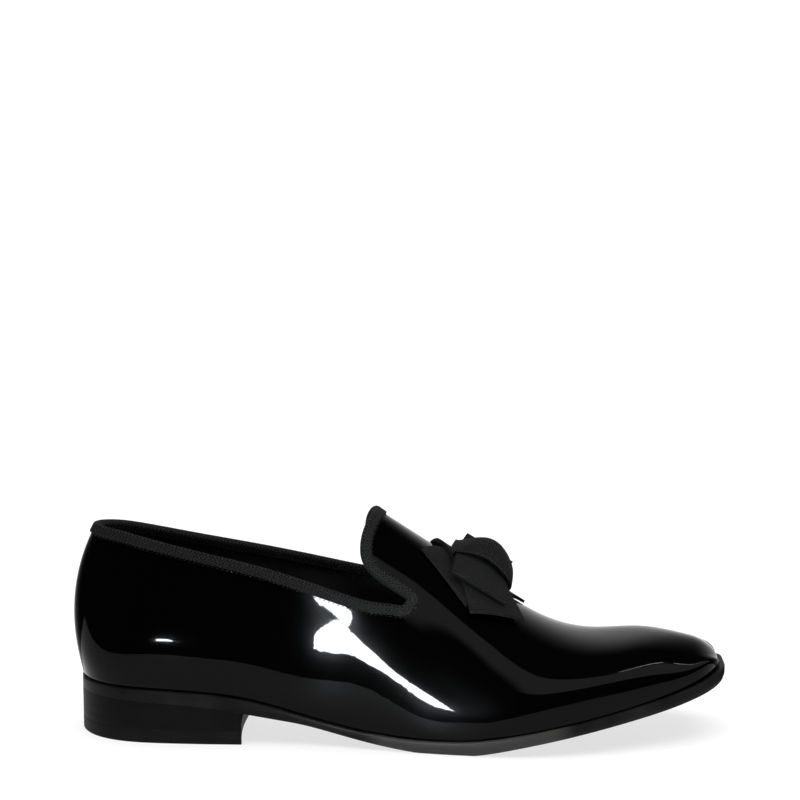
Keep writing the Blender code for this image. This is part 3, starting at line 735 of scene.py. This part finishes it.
def plan_outset(loop, distance):
    """Moves each point of a closed plan loop outward, with mitred corners."""
    before = loop - np.roll(loop, 1, axis=0)
    after = np.roll(before, -1, axis=0)
    normals = []
    for edge in (before, after):
        length = np.linalg.norm(edge, axis=1, keepdims=True)
        normals.append(np.stack([edge[:, 1], -edge[:, 0]], axis=1) / length)
    total = normals[0] + normals[1]
    facing = np.sum(normals[0] * normals[1], axis=1, keepdims=True)
    return loop + np.reshape(distance, (-1, 1)) * total / np.maximum(1 + facing, MITRE_LIMIT)


def feather_loop(places, front):
    """The seam of upper and sole as a plan loop, closed by the front points given."""
    outer = last_surface(places, 0.0)[:, :2]
    inner = last_surface(places, 2 * CREST)[:, :2]
    return np.concatenate([outer, front, inner[:0:-1]])


def square_front(place, steps_across, hollow=0.0):
    """Plan points of a front edge between its two corners, hollowed in the middle."""
    share = np.linspace(0, 1, steps_across + 1)[1:-1, None]
    outer = last_surface(place, 0.0)[:2]
    inner = last_surface(place, 2 * CREST)[:2]
    return outer + share * (inner - outer) - hollow * 4 * share * (1 - share) * [1, 0]


def slab(name, loop, steps_across, levels, top, bottom, material, slot, seat=-math.inf):
    """A closed solid over a plan loop that starts at the heel's back.

    Rungs join the loop's two sides. The levels give the side's profile from top to bottom.
    Top and bottom are heights at a plan point and at its share of the way across. The lower
    edge is square as far as the seat, where another piece sits against it.
    """
    rungs = (len(loop) - steps_across) // 2
    count = len(loop)
    loop_share = np.zeros(count)
    loop_share[rungs : rungs + steps_across + 1] = np.linspace(0, 1, steps_across + 1)
    loop_share[rungs + steps_across + 1 :] = 1
    loop_share[0] = 0.5
    points = []
    faces = []
    for level in levels:
        lower = level.depth > 0.5
        free = np.clip((loop[:, 0] - seat) / SEAT_BLEND, 0, 1) if lower else np.ones(count)
        plan = plan_outset(loop, -level.inset * free)
        high = top(plan[:, 0], loop_share)
        low = bottom(plan[:, 0], loop_share)
        points += np.column_stack([plan, high + (low - high) * level.depth]).tolist()
    for level in range(len(levels) - 1):
        for k in range(count):
            following = (k + 1) % count
            start = level * count
            faces.append((start + k, start + count + k, start + count + following, start + following))
    shares = np.linspace(0, 1, steps_across + 1)
    for level, height, flip in ((0, top, False), (len(levels) - 1, bottom, True)):
        start = level * count
        lid = np.zeros((rungs + 1, steps_across + 1), int)
        for i in range(rungs + 1):
            outer = start + i
            inner = start + (count - i) % count
            for j, share in enumerate(shares):
                if j == 0 or i == 0:
                    lid[i, j] = outer
                elif j == steps_across:
                    lid[i, j] = inner
                elif i == rungs:
                    lid[i, j] = start + rungs + j
                else:
                    plan = (1 - share) * np.array(points[outer][:2]) + share * np.array(points[inner][:2])
                    lid[i, j] = len(points)
                    points.append([*plan, float(height(plan[0], share))])
        for i in range(rungs):
            for j in range(steps_across):
                face = [lid[i, j], lid[i + 1, j], lid[i + 1, j + 1], lid[i, j + 1]]
                face = list(dict.fromkeys(int(corner) for corner in face))
                faces.append(face[::-1] if flip else face)
    item = add_piece(name + "_dressed", points, faces, material, name)
    item.data.set_sharp_from_angle(angle=math.radians(SHARP_ANGLE))


def sole_loop(places, front):
    """The outsole's edge: the feather moved out by the margin that shows beyond the upper."""
    loop = feather_loop(places, front)
    return plan_outset(loop, margin_curve(np.clip(loop[:, 0], 0, SHOE_LENGTH))[:, 1])


def feather_offset(offset):
    """A height that follows the feather at an offset, for a slab's top or bottom."""
    return lambda along, share: feather_height(along) + offset


def level_height(height):
    """One height everywhere, for a slab's top or bottom."""
    return lambda along, share: np.full(np.shape(along), height)


def build_sole():
    places = np.concatenate([collar_places(SOLE_REAR), front_places(SOLE_FRONT, TOE_STEPS)[1:]])
    loop = sole_loop(places, square_front(TIP_PLACE, SOLE_STEPS_ACROSS))
    top = feather_offset(-SEAT_GAP)
    dark, light = (0.0008, 0.0008, 0.0008), (0.055, 0.054, 0.053)
    dressed = sole_leather("sole_leather", dark, light, 0.35, BALL_PALE_SPOT)
    slab(
        "outsole", loop, SOLE_STEPS_ACROSS, SOLE_LEVELS, top, sole_bottom, dressed, "sole_leather",
        seat=HEEL_LENGTH,
    )


def build_heel():
    breast = float(place_at(HEEL_LENGTH))
    places = np.linspace(0, breast, HEEL_STEPS + 1)
    loop = sole_loop(places, square_front(breast, SOLE_STEPS_ACROSS, HEEL_BREAST_HOLLOW))

    def block_top(along, share):
        return sole_bottom(along, share) - DRESSED_GAP

    stack = sole_leather("heel_leather", (0.0012, 0.0012, 0.0012), (0.016, 0.0156, 0.0154), 0.45)
    rubber = heel_rubber()
    across = SOLE_STEPS_ACROSS
    joint = level_height(TOP_LIFT + DRESSED_GAP)
    slab("heel_block", loop, across, HEEL_LEVELS, block_top, joint, stack, "heel_leather")
    lift = level_height(TOP_LIFT), level_height(0.0)
    slab("heel_top_lift", loop, across, LIFT_LEVELS, *lift, rubber, "heel_rubber")


def build_insole(material):
    end = float(place_at(INSOLE_END))
    places = np.concatenate([collar_places(SOLE_REAR), np.linspace(NOTCH_PLACE, end, SOLE_FRONT + 1)[1:]])
    loop = feather_loop(places, square_front(end, INSOLE_STEPS_ACROSS))
    loop = plan_outset(loop, -INSOLE_INSET * np.ones(len(loop)))
    heights = feather_offset(INSOLE_THICKNESS), feather_offset(0.0)
    slab("insole", loop, INSOLE_STEPS_ACROSS, INSOLE_LEVELS, *heights, material, "insole_leather")


def relief(points):
    """Height of the creases and of the back seam over the smooth last."""
    along, aside, up = np.moveaxis(points, -1, 0)
    height = np.where(along < SEAM_END_ALONG, -SEAM_DEPTH * np.exp(-((aside / SEAM_HALF_WIDTH) ** 2)), 0.0)
    for crease in CREASES:
        tilt = math.radians(crease.tilt)
        ahead = along - crease.along
        above = up - crease.up
        run = (ahead * math.cos(tilt) + above * math.sin(tilt)) / crease.half_length
        beside = (above * math.cos(tilt) - ahead * math.sin(tilt)) / crease.half_width
        height += np.where(aside * crease.side > 0, crease.height * np.exp(-(run**2) - beside**2), 0.0)
    return height


def leather_face(places, across):
    """The outer face of the leather with its creases and seam."""
    places, across = np.broadcast_arrays(places, across)
    smooth = last_surface(places, across)
    normal = surface_frame(places.ravel(), across.ravel())[2].reshape(smooth.shape)
    return smooth + relief(smooth)[..., None] * normal


def build_upper(lining):
    """The hollow upper: two quarters from the feather to the collar, and the vamp with its tongue."""
    rear = np.union1d(collar_places(UPPER_REAR), SEAM_PLACES)
    front = front_places(UPPER_FRONT, TOE_STEPS)
    columns = np.concatenate([rear[:-1], front])
    climb = np.linspace(0, 1, QUARTER_ROWS + 1)
    points = []
    faces = []
    for side, notch in ((-1, OUTER_NOTCH), (1, INNER_NOTCH)):
        collar = np.append(topline_across(rear[:-1], side), np.full(len(front), notch))
        across = counted_from_outer(collar[:, None] * climb, side)
        patch = leather_face(columns[:, None], across).reshape(-1, 3)
        faces += grid_faces(len(columns), len(climb), flip=side > 0, first=len(points))
        points += patch.tolist()
    tongue, across = tongue_route(TONGUE_STEPS)
    fade = (1 - np.clip((front - NOTCH_PLACE) / TONGUE_BLEND, 0, 1)) ** 2
    places = front[:, None] + (tongue - NOTCH_PLACE) * fade[:, None]
    patch = leather_face(places, across[None]).reshape(-1, 3)
    faces += grid_faces(len(front), len(across), first=len(points))
    points += patch.tolist()
    item = add_piece("upper_leather", points, faces, patent_leather(), "upper")
    item.data.materials.append(lining)
    thicken(item, UPPER_WALL, -1, inside=1)


def rim_route(collar_steps, tongue_steps):
    """The whole edge of the opening as a loop of places and across, from the back seam."""
    rear = collar_places(collar_steps)[:-1]
    tongue, tongue_across = tongue_route(tongue_steps)
    outer = topline_across(rear, -1)
    inner = counted_from_outer(topline_across(rear, 1), 1)
    places = np.concatenate([rear, tongue, rear[:0:-1]])
    across = np.concatenate([outer, tongue_across, inner[:0:-1]])
    return places, across


def rim_band(places, across, reach, height):
    """Points beside the rim: reach in millimetres into the leather, height off its outer face."""
    rim = last_surface(places, across)
    tangent = np.roll(rim, -1, axis=0) - np.roll(rim, 1, axis=0)
    along, over, normal = surface_frame(places, across)
    inward = np.cross(tangent, normal)
    inward /= np.linalg.norm(inward, axis=1, keepdims=True)
    slopes = np.stack([along, over], axis=2)
    step = np.einsum("nij,nj->ni", np.linalg.pinv(slopes), inward) * reach
    mirrored = places + step[:, 0] < 0
    moved = np.abs(places + step[:, 0])
    moved_across = across + step[:, 1]
    moved_across = np.where(mirrored, 2 * CREST - moved_across, moved_across)
    base = last_surface(moved, moved_across)
    return base + height * surface_frame(moved, moved_across)[2]


def binding_profile():
    """Reach and height of the ribbon folded over the rim, from its outer edge to its inner edge."""
    half = BINDING_THICKNESS / 2
    stand_off = BINDING_GAP + half
    middle = -UPPER_WALL / 2
    flat = np.linspace(1, 0, BINDING_FLAT_STEPS, endpoint=False)
    profile = [(BINDING_WIDTH * share, stand_off) for share in flat]
    for angle in np.linspace(math.pi / 2, -math.pi / 2, BINDING_FOLD_STEPS + 1):
        profile.append((-BINDING_FOLD * math.cos(angle), middle + (stand_off - middle) * math.sin(angle)))
    profile += [(BINDING_WIDTH * share, -UPPER_WALL - stand_off) for share in flat[::-1]]
    return profile


def build_binding():
    places, across = rim_route(BINDING_COLLAR_STEPS, BINDING_TONGUE_STEPS)
    profile = binding_profile()
    rows = np.stack([rim_band(places, across, reach, height) for reach, height in profile], axis=1)
    rows = np.concatenate([rows, rows[:1]])
    count, width = rows.shape[:2]
    middle = rows[:, width // 2]
    spread = np.meshgrid(run_length(middle), run_length(profile), indexing="ij")
    spread = np.stack(spread, axis=-1).reshape(-1, 2)
    dark, light = (0.0002, 0.0002, 0.0002), (0.02, 0.0197, 0.0194)
    material = grosgrain("binding_grosgrain", dark, light, BINDING_WEAVE)
    item = add_piece(
        "binding_ribbon", rows.reshape(-1, 3), grid_faces(count, width), material,
        "topline_binding", spread,
    )
    thicken(item, BINDING_THICKNESS, 0, even=False)


def build_stitches(row, material):
    """A row of stitches beside the rim, each a round thread with tapered ends."""
    places, across = rim_route(BINDING_COLLAR_STEPS, BINDING_TONGUE_STEPS)
    line = rim_band(places, across, row.reach, row.height)
    line = np.concatenate([line, line[:1]])
    run = run_length(line)
    starts = np.arange(0, run[-1] - row.length, row.length + row.gap)
    shares = np.linspace(0, 1, STITCH_RINGS)
    spots = starts[:, None] + row.length * shares
    middle = np.stack([np.interp(spots, run, line[:, axis]) for axis in range(3)], axis=-1)
    ahead = middle[:, -1] - middle[:, 0]
    ahead /= np.linalg.norm(ahead, axis=1, keepdims=True)
    beside = np.cross(ahead, [0.0, 0.0, 1.0])
    beside /= np.linalg.norm(beside, axis=1, keepdims=True)
    above = np.cross(beside, ahead)
    turn = np.linspace(0, 2 * math.pi, STITCH_SIDES + 1)
    girth = STITCH_RADIUS * np.sqrt(1 - (2 * shares - 1) ** 2)
    ring = np.cos(turn)[:, None] * beside[:, None] + np.sin(turn)[:, None] * above[:, None]
    points = middle[:, :, None] + girth[None, :, None, None] * ring[:, None]
    faces = []
    for k in range(len(starts)):
        first = k * STITCH_RINGS * len(turn)
        faces += grid_faces(STITCH_RINGS, len(turn), first=first)
    add_piece(row.name, points.reshape(-1, 3), faces, material, None)


def vamp_spot(along, aside):
    """A point of the vamp and its normal, at an arc distance from the crest to the outer side."""
    fine = np.linspace(0, 2 * CREST, ARC_SAMPLES)
    place = place_at(along)
    section = last_surface(place[:, None], fine[None])
    steps = np.linalg.norm(np.diff(section, axis=1), axis=2)
    arc = np.concatenate([np.zeros((len(place), 1)), np.cumsum(steps, axis=1)], axis=1)
    arc -= arc[:, len(fine) // 2, None]
    across = np.array([np.interp(-reach, row, fine) for reach, row in zip(aside, arc)])
    return last_surface(place, across), surface_frame(place, across)[2]


def bow_points(ahead, aside, height):
    """Points of the bow from distances down the vamp, to the outer side and off the leather."""
    ahead, aside, height = np.broadcast_arrays(ahead, aside, height)
    slope = np.diff(last_surface(place_at([BOW_ALONG - 1, BOW_ALONG + 1]), CREST), axis=0)[0]
    level = slope[0] / np.linalg.norm(slope)
    base, normal = vamp_spot(BOW_ALONG + level * ahead.ravel(), aside.ravel())
    return base + height.ravel()[:, None] * normal


def half_turn(steps):
    """Angles of a ribbon's fold, from its lower to its upper layer."""
    return np.linspace(-math.pi / 2, math.pi / 2, steps + 1)


def add_ribbon(name, points, width, material, flip=False):
    """A ribbon through rows of points, with its texture map in millimetres along and across it."""
    run = run_length(points[:, points.shape[1] // 2])
    spread = np.stack(np.meshgrid(run, width, indexing="ij"), axis=-1).reshape(-1, 2)
    faces = grid_faces(*points.shape[:2], flip=flip)
    item = add_piece(
        name + "_woven", points.reshape(-1, 3), faces, material, name, spread
    )
    thicken(item, RIBBON_THICKNESS, 0)


def build_under_ribbons(material):
    """Two flat loops that cross under the bow, the second on top of the first."""
    for ribbon in UNDER_RIBBONS:
        turn = half_turn(RIBBON_FOLD_STEPS)
        fold = RIBBON_LAYER_GAP / 2
        run = np.linspace(-ribbon.half_length, ribbon.half_length, RIBBON_RUN_STEPS + 1)[1:-1]
        out = np.concatenate([run, ribbon.half_length + fold * np.cos(turn)])
        low = np.concatenate([np.full(len(run), -fold), fold * np.sin(turn)])
        along = np.concatenate([out, -out])[:, None]
        height = np.concatenate([low, -low])[:, None] + ribbon.middle_height
        width = np.linspace(-RIBBON_WIDTH / 2, RIBBON_WIDTH / 2, RIBBON_WIDTH_STEPS + 1)
        tilt = math.radians(ribbon.tilt)
        ahead = along * math.sin(tilt) + width * math.cos(tilt)
        aside = along * math.cos(tilt) - width * math.sin(tilt)
        points = bow_points(ahead, aside, height).reshape(*ahead.shape, 3)
        add_ribbon(ribbon.name, np.concatenate([points, points[:1]]), width, material)


def bulge(share):
    """Height of the bow's swelling down the vamp, which leans forward."""
    return (1 - share**2) ** (BULGE_POWER - BULGE_LEAN * share)


def build_loops(material):
    """The two standing loops of the bow, gathered under the knot and flat at their folded ends."""
    turn = half_turn(LOOP_FOLD_STEPS)
    fold = LOOP_END_HEIGHT / 2
    share = LOOP_EDGE_SHARE * np.linspace(-1, 1, LOOP_WIDTH_STEPS + 1)
    arch = LOOP_EDGE + (LOOP_TOP - LOOP_EDGE) * bulge(share)
    for loop in STANDING_LOOPS:
        end = loop.reach - fold
        run = np.linspace(LOOP_START, end, LOOP_RUN_STEPS + 1)[:-1]
        out = np.concatenate([run, end + fold * np.cos(turn), run[::-1]])[:, None]
        rise = np.concatenate([np.zeros(len(run)), (1 + np.sin(turn)) / 2, np.ones(len(run))])[:, None]
        inward = 1 - np.clip(out / end, 0, 1)
        gather = loop.end_width + (LOOP_GATHERED - loop.end_width) * inward
        ahead = LOOP_AHEAD + RIBBON_WIDTH / 2 * share * gather
        free = np.clip((out - KNOT_WIDTH / 2) / (end - KNOT_WIDTH / 2), 0, 1)
        lift = loop.end_rise * free**2 * (3 - 2 * free)
        tall = LOOP_END_HEIGHT + (arch - LOOP_END_HEIGHT) * inward
        height = LOOP_HEIGHT + lift + rise * tall
        points = bow_points(ahead, loop.side * out, height).reshape(len(out), len(share), 3)
        add_ribbon(loop.name, points, RIBBON_WIDTH / 2 * share, material, flip=loop.side < 0)


def build_knot(material):
    """The puffed band that wraps the middle of the loops."""
    width = np.linspace(-KNOT_WIDTH / 2, KNOT_WIDTH / 2, KNOT_WIDTH_STEPS + 1)
    over = np.cos(np.linspace(0, math.pi, KNOT_ARCH_STEPS + 1))[:, None]
    under = np.linspace(-1, 1, KNOT_BASE_STEPS + 1)[:, None]
    swell = bulge(over) * np.sqrt(1 - (width / KNOT_ROUND) ** 2)
    arch = KNOT_EDGE + (KNOT_TOP - KNOT_EDGE) * swell
    base = np.full((len(under), len(width)), KNOT_BASE)
    height = LOOP_HEIGHT + np.concatenate([arch, base])
    ahead = LOOP_AHEAD + KNOT_HALF_LENGTH * np.concatenate([over, under])
    points = bow_points(ahead, width, height).reshape(*height.shape, 3)
    add_ribbon("bow_knot", np.concatenate([points, points[:1]]), width, material, flip=True)


# Camera: fitted to the photograph's view of the sole, the heel and the crest
CAMERA_AIM = Vector((0.0006, -0.0017, 0.045))
CAMERA_DISTANCE = 1.0
CAMERA_YAW = math.radians(2.3)
CAMERA_ELEVATION = math.radians(14.5)
CAMERA_PITCH = math.radians(8.355)
FOCAL_PIXELS = 2165.0
FRAME_PIXELS = 800.0
SENSOR = 36.0


def build_camera():
    data = bpy.data.cameras.new("camera")
    data.sensor_width = SENSOR
    data.lens = FOCAL_PIXELS / FRAME_PIXELS * SENSOR
    camera = bpy.data.objects.new("camera", data)
    bpy.context.scene.collection.objects.link(camera)
    back = Vector((math.sin(CAMERA_YAW), -math.cos(CAMERA_YAW), 0.0))
    up = Vector((0.0, 0.0, 1.0))
    camera.location = CAMERA_AIM + CAMERA_DISTANCE * (
        math.cos(CAMERA_ELEVATION) * back + math.sin(CAMERA_ELEVATION) * up
    )
    forward = -math.cos(CAMERA_PITCH) * back - math.sin(CAMERA_PITCH) * up
    camera.rotation_euler = forward.to_track_quat("-Z", "Y").to_euler()
    bpy.context.scene.camera = camera


# The stage in metres: half its breadth, the strip of floor that the leather mirrors, the bend of
# the floor into the backdrop, and the walls.
STAGE_HALF, STAGE_FRONT, STAGE_BACK = 4.0, -6.0, 1.6
MIRRORED_FRONT, MIRRORED_BACK = -0.3, 0.06
BACKDROP_BEND, BACKDROP_TOP, WALL_TOP = 0.5, 1.1, 3.0
BEND_STEPS = 12
FLOOR_GLOW = 0.72

# A black card beside the shoe, with a slit: its edges in metres.
FLAG_LEFT, FLAG_RIGHT, FLAG_AWAY = -0.6, -0.172, -0.45
FLAG_LOW, SLIT_LOW, SLIT_HIGH, FLAG_HIGH = 0.02, 0.08, 0.093, 0.5

# Area lights, placed by angles seen from the shoe, with sizes and distance in metres. Mirrored
# says whether glossy surfaces show a light, and lights whether it lights matt ones.
LIGHT_DISTANCE = 2.5
Lamp = namedtuple("Lamp", "name azimuth elevation distance size power mirrored lights")
LAMPS = (
    Lamp("overhead", 0, 90, 2.2, (3.0, 3.0), 106.0, False, True),
    Lamp("strip", 68, 52, LIGHT_DISTANCE, (1.0, 0.018), 4.5, True, False),
)

# Sheets of light that only glossy surfaces show, from their rows: azimuths of the two edges at
# elevations, in degrees. Soft is the share of a sheet over which its edges fade.
Pane = namedtuple("Pane", "elevation left right")
Sheet = namedtuple("Sheet", "name rows columns colour strength soft")
SHEET_ROWS = 9


def even_rows(elevations, left, right):
    """Rows of a sheet between two elevations and two azimuths."""
    return [Pane(level, left, right) for level in np.linspace(*elevations, SHEET_ROWS)]


WINDOW_PANES = (
    Pane(-0.3, -19.6, -18.6),
    Pane(1.7, -19.6, -13.0),
    Pane(5.0, -19.6, -14.4),
    Pane(7.0, -19.6, -17.0),
    Pane(13.4, -19.6, -17.0),
)
SHEETS = (
    Sheet("window", WINDOW_PANES, 3, (0.86, 0.94, 1.0), 230.0, 0.002),
    Sheet("grey_sheet", even_rows((19, 49), -3, 130), 33, (1.0, 1.0, 1.0), 1.5, 0.06),
    Sheet("back_sheet", even_rows((-60, 50), 100, 260), 33, (1.0, 1.0, 1.0), 0.75, 0.5),
    Sheet("tan_sheet", even_rows((-2, 34), -150, -98), 17, (1.0, 0.88, 0.74), 1.2, 0.3),
)


def pale_floor():
    """White floor that glows a little, so that shadows stay faint."""
    material, tree, shader = principled("pale_floor", (0.3, 0.3, 0.3), 0.6, Specular_IOR_Level=0.1)
    shader.inputs["Emission Color"].default_value = (1.0, 1.0, 1.0, 1.0)
    shader.inputs["Emission Strength"].default_value = FLOOR_GLOW
    shades = ramp(tree, noise(tree, 3.0, 2.0), 0.3, 0.7, (0.29, 0.29, 0.29), (0.31, 0.31, 0.31))
    link(tree, shades, shader.inputs["Base Color"])
    return material


def build_stage():
    """Floor, the backdrop it sweeps up into, and walls. The leather mirrors only the floor beside it."""
    material = pale_floor()
    bend_start = STAGE_BACK - BACKDROP_BEND
    turns = np.linspace(0, math.pi / 2, BEND_STEPS + 1)
    bend = [(bend_start + BACKDROP_BEND * math.sin(a), BACKDROP_BEND * (1 - math.cos(a))) for a in turns]
    lines = {
        "floor_sweep": [(MIRRORED_FRONT, 0.0), (MIRRORED_BACK, 0.0)],
        "floor_back": [(MIRRORED_BACK, 0.0), (bend_start, 0.0)],
        "floor_front": [(STAGE_FRONT, 0.0), (MIRRORED_FRONT, 0.0)],
        "backdrop": bend + [(STAGE_BACK, BACKDROP_TOP)],
    }
    sides = (-STAGE_HALF, STAGE_HALF)
    strips = {name: [(x, y, z) for y, z in line for x in sides] for name, line in lines.items()}
    ends = (STAGE_BACK, STAGE_FRONT)
    corners = [(sides[1], y) for y in ends] + [(sides[0], y) for y in ends[::-1]]
    strips["walls"] = [(x, y, z) for x, y in corners for z in (0.0, WALL_TOP)]
    for name, points in strips.items():
        faces = grid_faces(len(points) // 2, 2, flip=True)
        item = add_mesh(name, points, faces, material)
        item.data.shade_smooth()
        if name != "floor_sweep":
            item.visible_glossy = False
            item.visible_shadow = False
        item.visible_diffuse = name != "walls"


def away_from_shoe(azimuth, elevation):
    """The direction at an azimuth and an elevation in degrees, seen from the shoe."""
    turn, rise = np.radians(azimuth), np.radians(elevation)
    flat = np.cos(rise)
    return np.stack(np.broadcast_arrays(np.sin(turn) * flat, -np.cos(turn) * flat, np.sin(rise)), axis=-1)


def area_light(lamp):
    data = bpy.data.lights.new(lamp.name, "AREA")
    data.shape = "RECTANGLE"
    data.size, data.size_y = lamp.size
    data.energy = lamp.power
    item = bpy.data.objects.new(lamp.name, data)
    bpy.context.scene.collection.objects.link(item)
    away = Vector(away_from_shoe(lamp.azimuth, lamp.elevation))
    item.location = CAMERA_AIM + lamp.distance * away
    item.rotation_mode = "QUATERNION"
    item.rotation_quaternion = (-away).to_track_quat("-Z", "Y")
    item.visible_camera = False
    item.visible_glossy = lamp.mirrored
    item.visible_diffuse = lamp.lights


def glow_material(sheet):
    """Even light that fades over a soft share of the sheet at its edges."""
    material = bpy.data.materials.new(sheet.name)
    material.use_nodes = True
    tree = material.node_tree
    tree.nodes.clear()
    place = texture_place(tree, "sheet")
    fades = []
    for share in (place["X"], place["Y"]):
        inner = math_node(tree, "MINIMUM", share, minus(tree, 1.0, share))
        fades.append(smooth_step(tree, inner, 0.0, sheet.soft))
    emission = tree.nodes.new("ShaderNodeEmission")
    emission.inputs["Color"].default_value = (*sheet.colour, 1.0)
    level = times(tree, times(tree, *fades), sheet.strength)
    link(tree, level, emission.inputs["Strength"])
    output = tree.nodes.new("ShaderNodeOutputMaterial")
    link(tree, emission.outputs["Emission"], output.inputs["Surface"])
    return material


def glow_sheet(sheet):
    """A curved sheet of light round the shoe."""
    up, over = np.linspace(0, 1, len(sheet.rows)), np.linspace(0, 1, sheet.columns)
    elevation, left, right = np.array(sheet.rows, float).T[:, :, None]
    away = away_from_shoe(left + (right - left) * over, elevation)
    points = np.array(CAMERA_AIM) + LIGHT_DISTANCE * away.reshape(-1, 3)
    faces = grid_faces(len(sheet.rows), sheet.columns)
    item = add_mesh(sheet.name, points.tolist(), faces, glow_material(sheet))
    spread = np.stack(np.meshgrid(up, over, indexing="ij"), axis=-1)
    map_texture(item.data, "sheet", spread.reshape(-1, 2))
    item.visible_camera = False
    item.visible_diffuse = False
    item.visible_shadow = False


def build_flag():
    """The black card, which keeps most of the window off the heel's leather."""
    material, tree, shader = principled("black_card", (0.0, 0.0, 0.0), 1.0, Specular_IOR_Level=0.0)
    link(tree, bump(tree, noise(tree, 40.0, 2.0), 0.1, 0.001), shader.inputs["Normal"])
    for name, low, high in (("flag_lower", FLAG_LOW, SLIT_LOW), ("flag_upper", SLIT_HIGH, FLAG_HIGH)):
        points = [(x, FLAG_AWAY, z) for z in (low, high) for x in (FLAG_LEFT, FLAG_RIGHT)]
        item = add_mesh(name, points, grid_faces(2, 2, flip=True), material)
        item.visible_camera = False
        item.visible_diffuse = False


def build_light():
    world = bpy.data.worlds.new("studio")
    bpy.context.scene.world = world
    world.use_nodes = True
    background = world.node_tree.nodes["Background"]
    background.inputs["Color"].default_value = (0.012, 0.012, 0.0125, 1.0)
    for lamp in LAMPS:
        area_light(lamp)
    for sheet in SHEETS:
        glow_sheet(sheet)
    bpy.context.scene.view_settings.view_transform = "Standard"


build_camera()
lining = lining_leather()
build_sole()
build_heel()
build_insole(lining)
build_upper(lining)
build_binding()
thread = waxed_thread()
for row in STITCH_ROWS:
    build_stitches(row, thread)
bow_ribbon = grosgrain("bow_grosgrain", (0.0003, 0.0003, 0.0003), (0.015, 0.0148, 0.0146), BOW_WEAVE)
build_under_ribbons(bow_ribbon)
build_loops(bow_ribbon)
build_knot(bow_ribbon)
build_stage()
build_light()
build_flag()
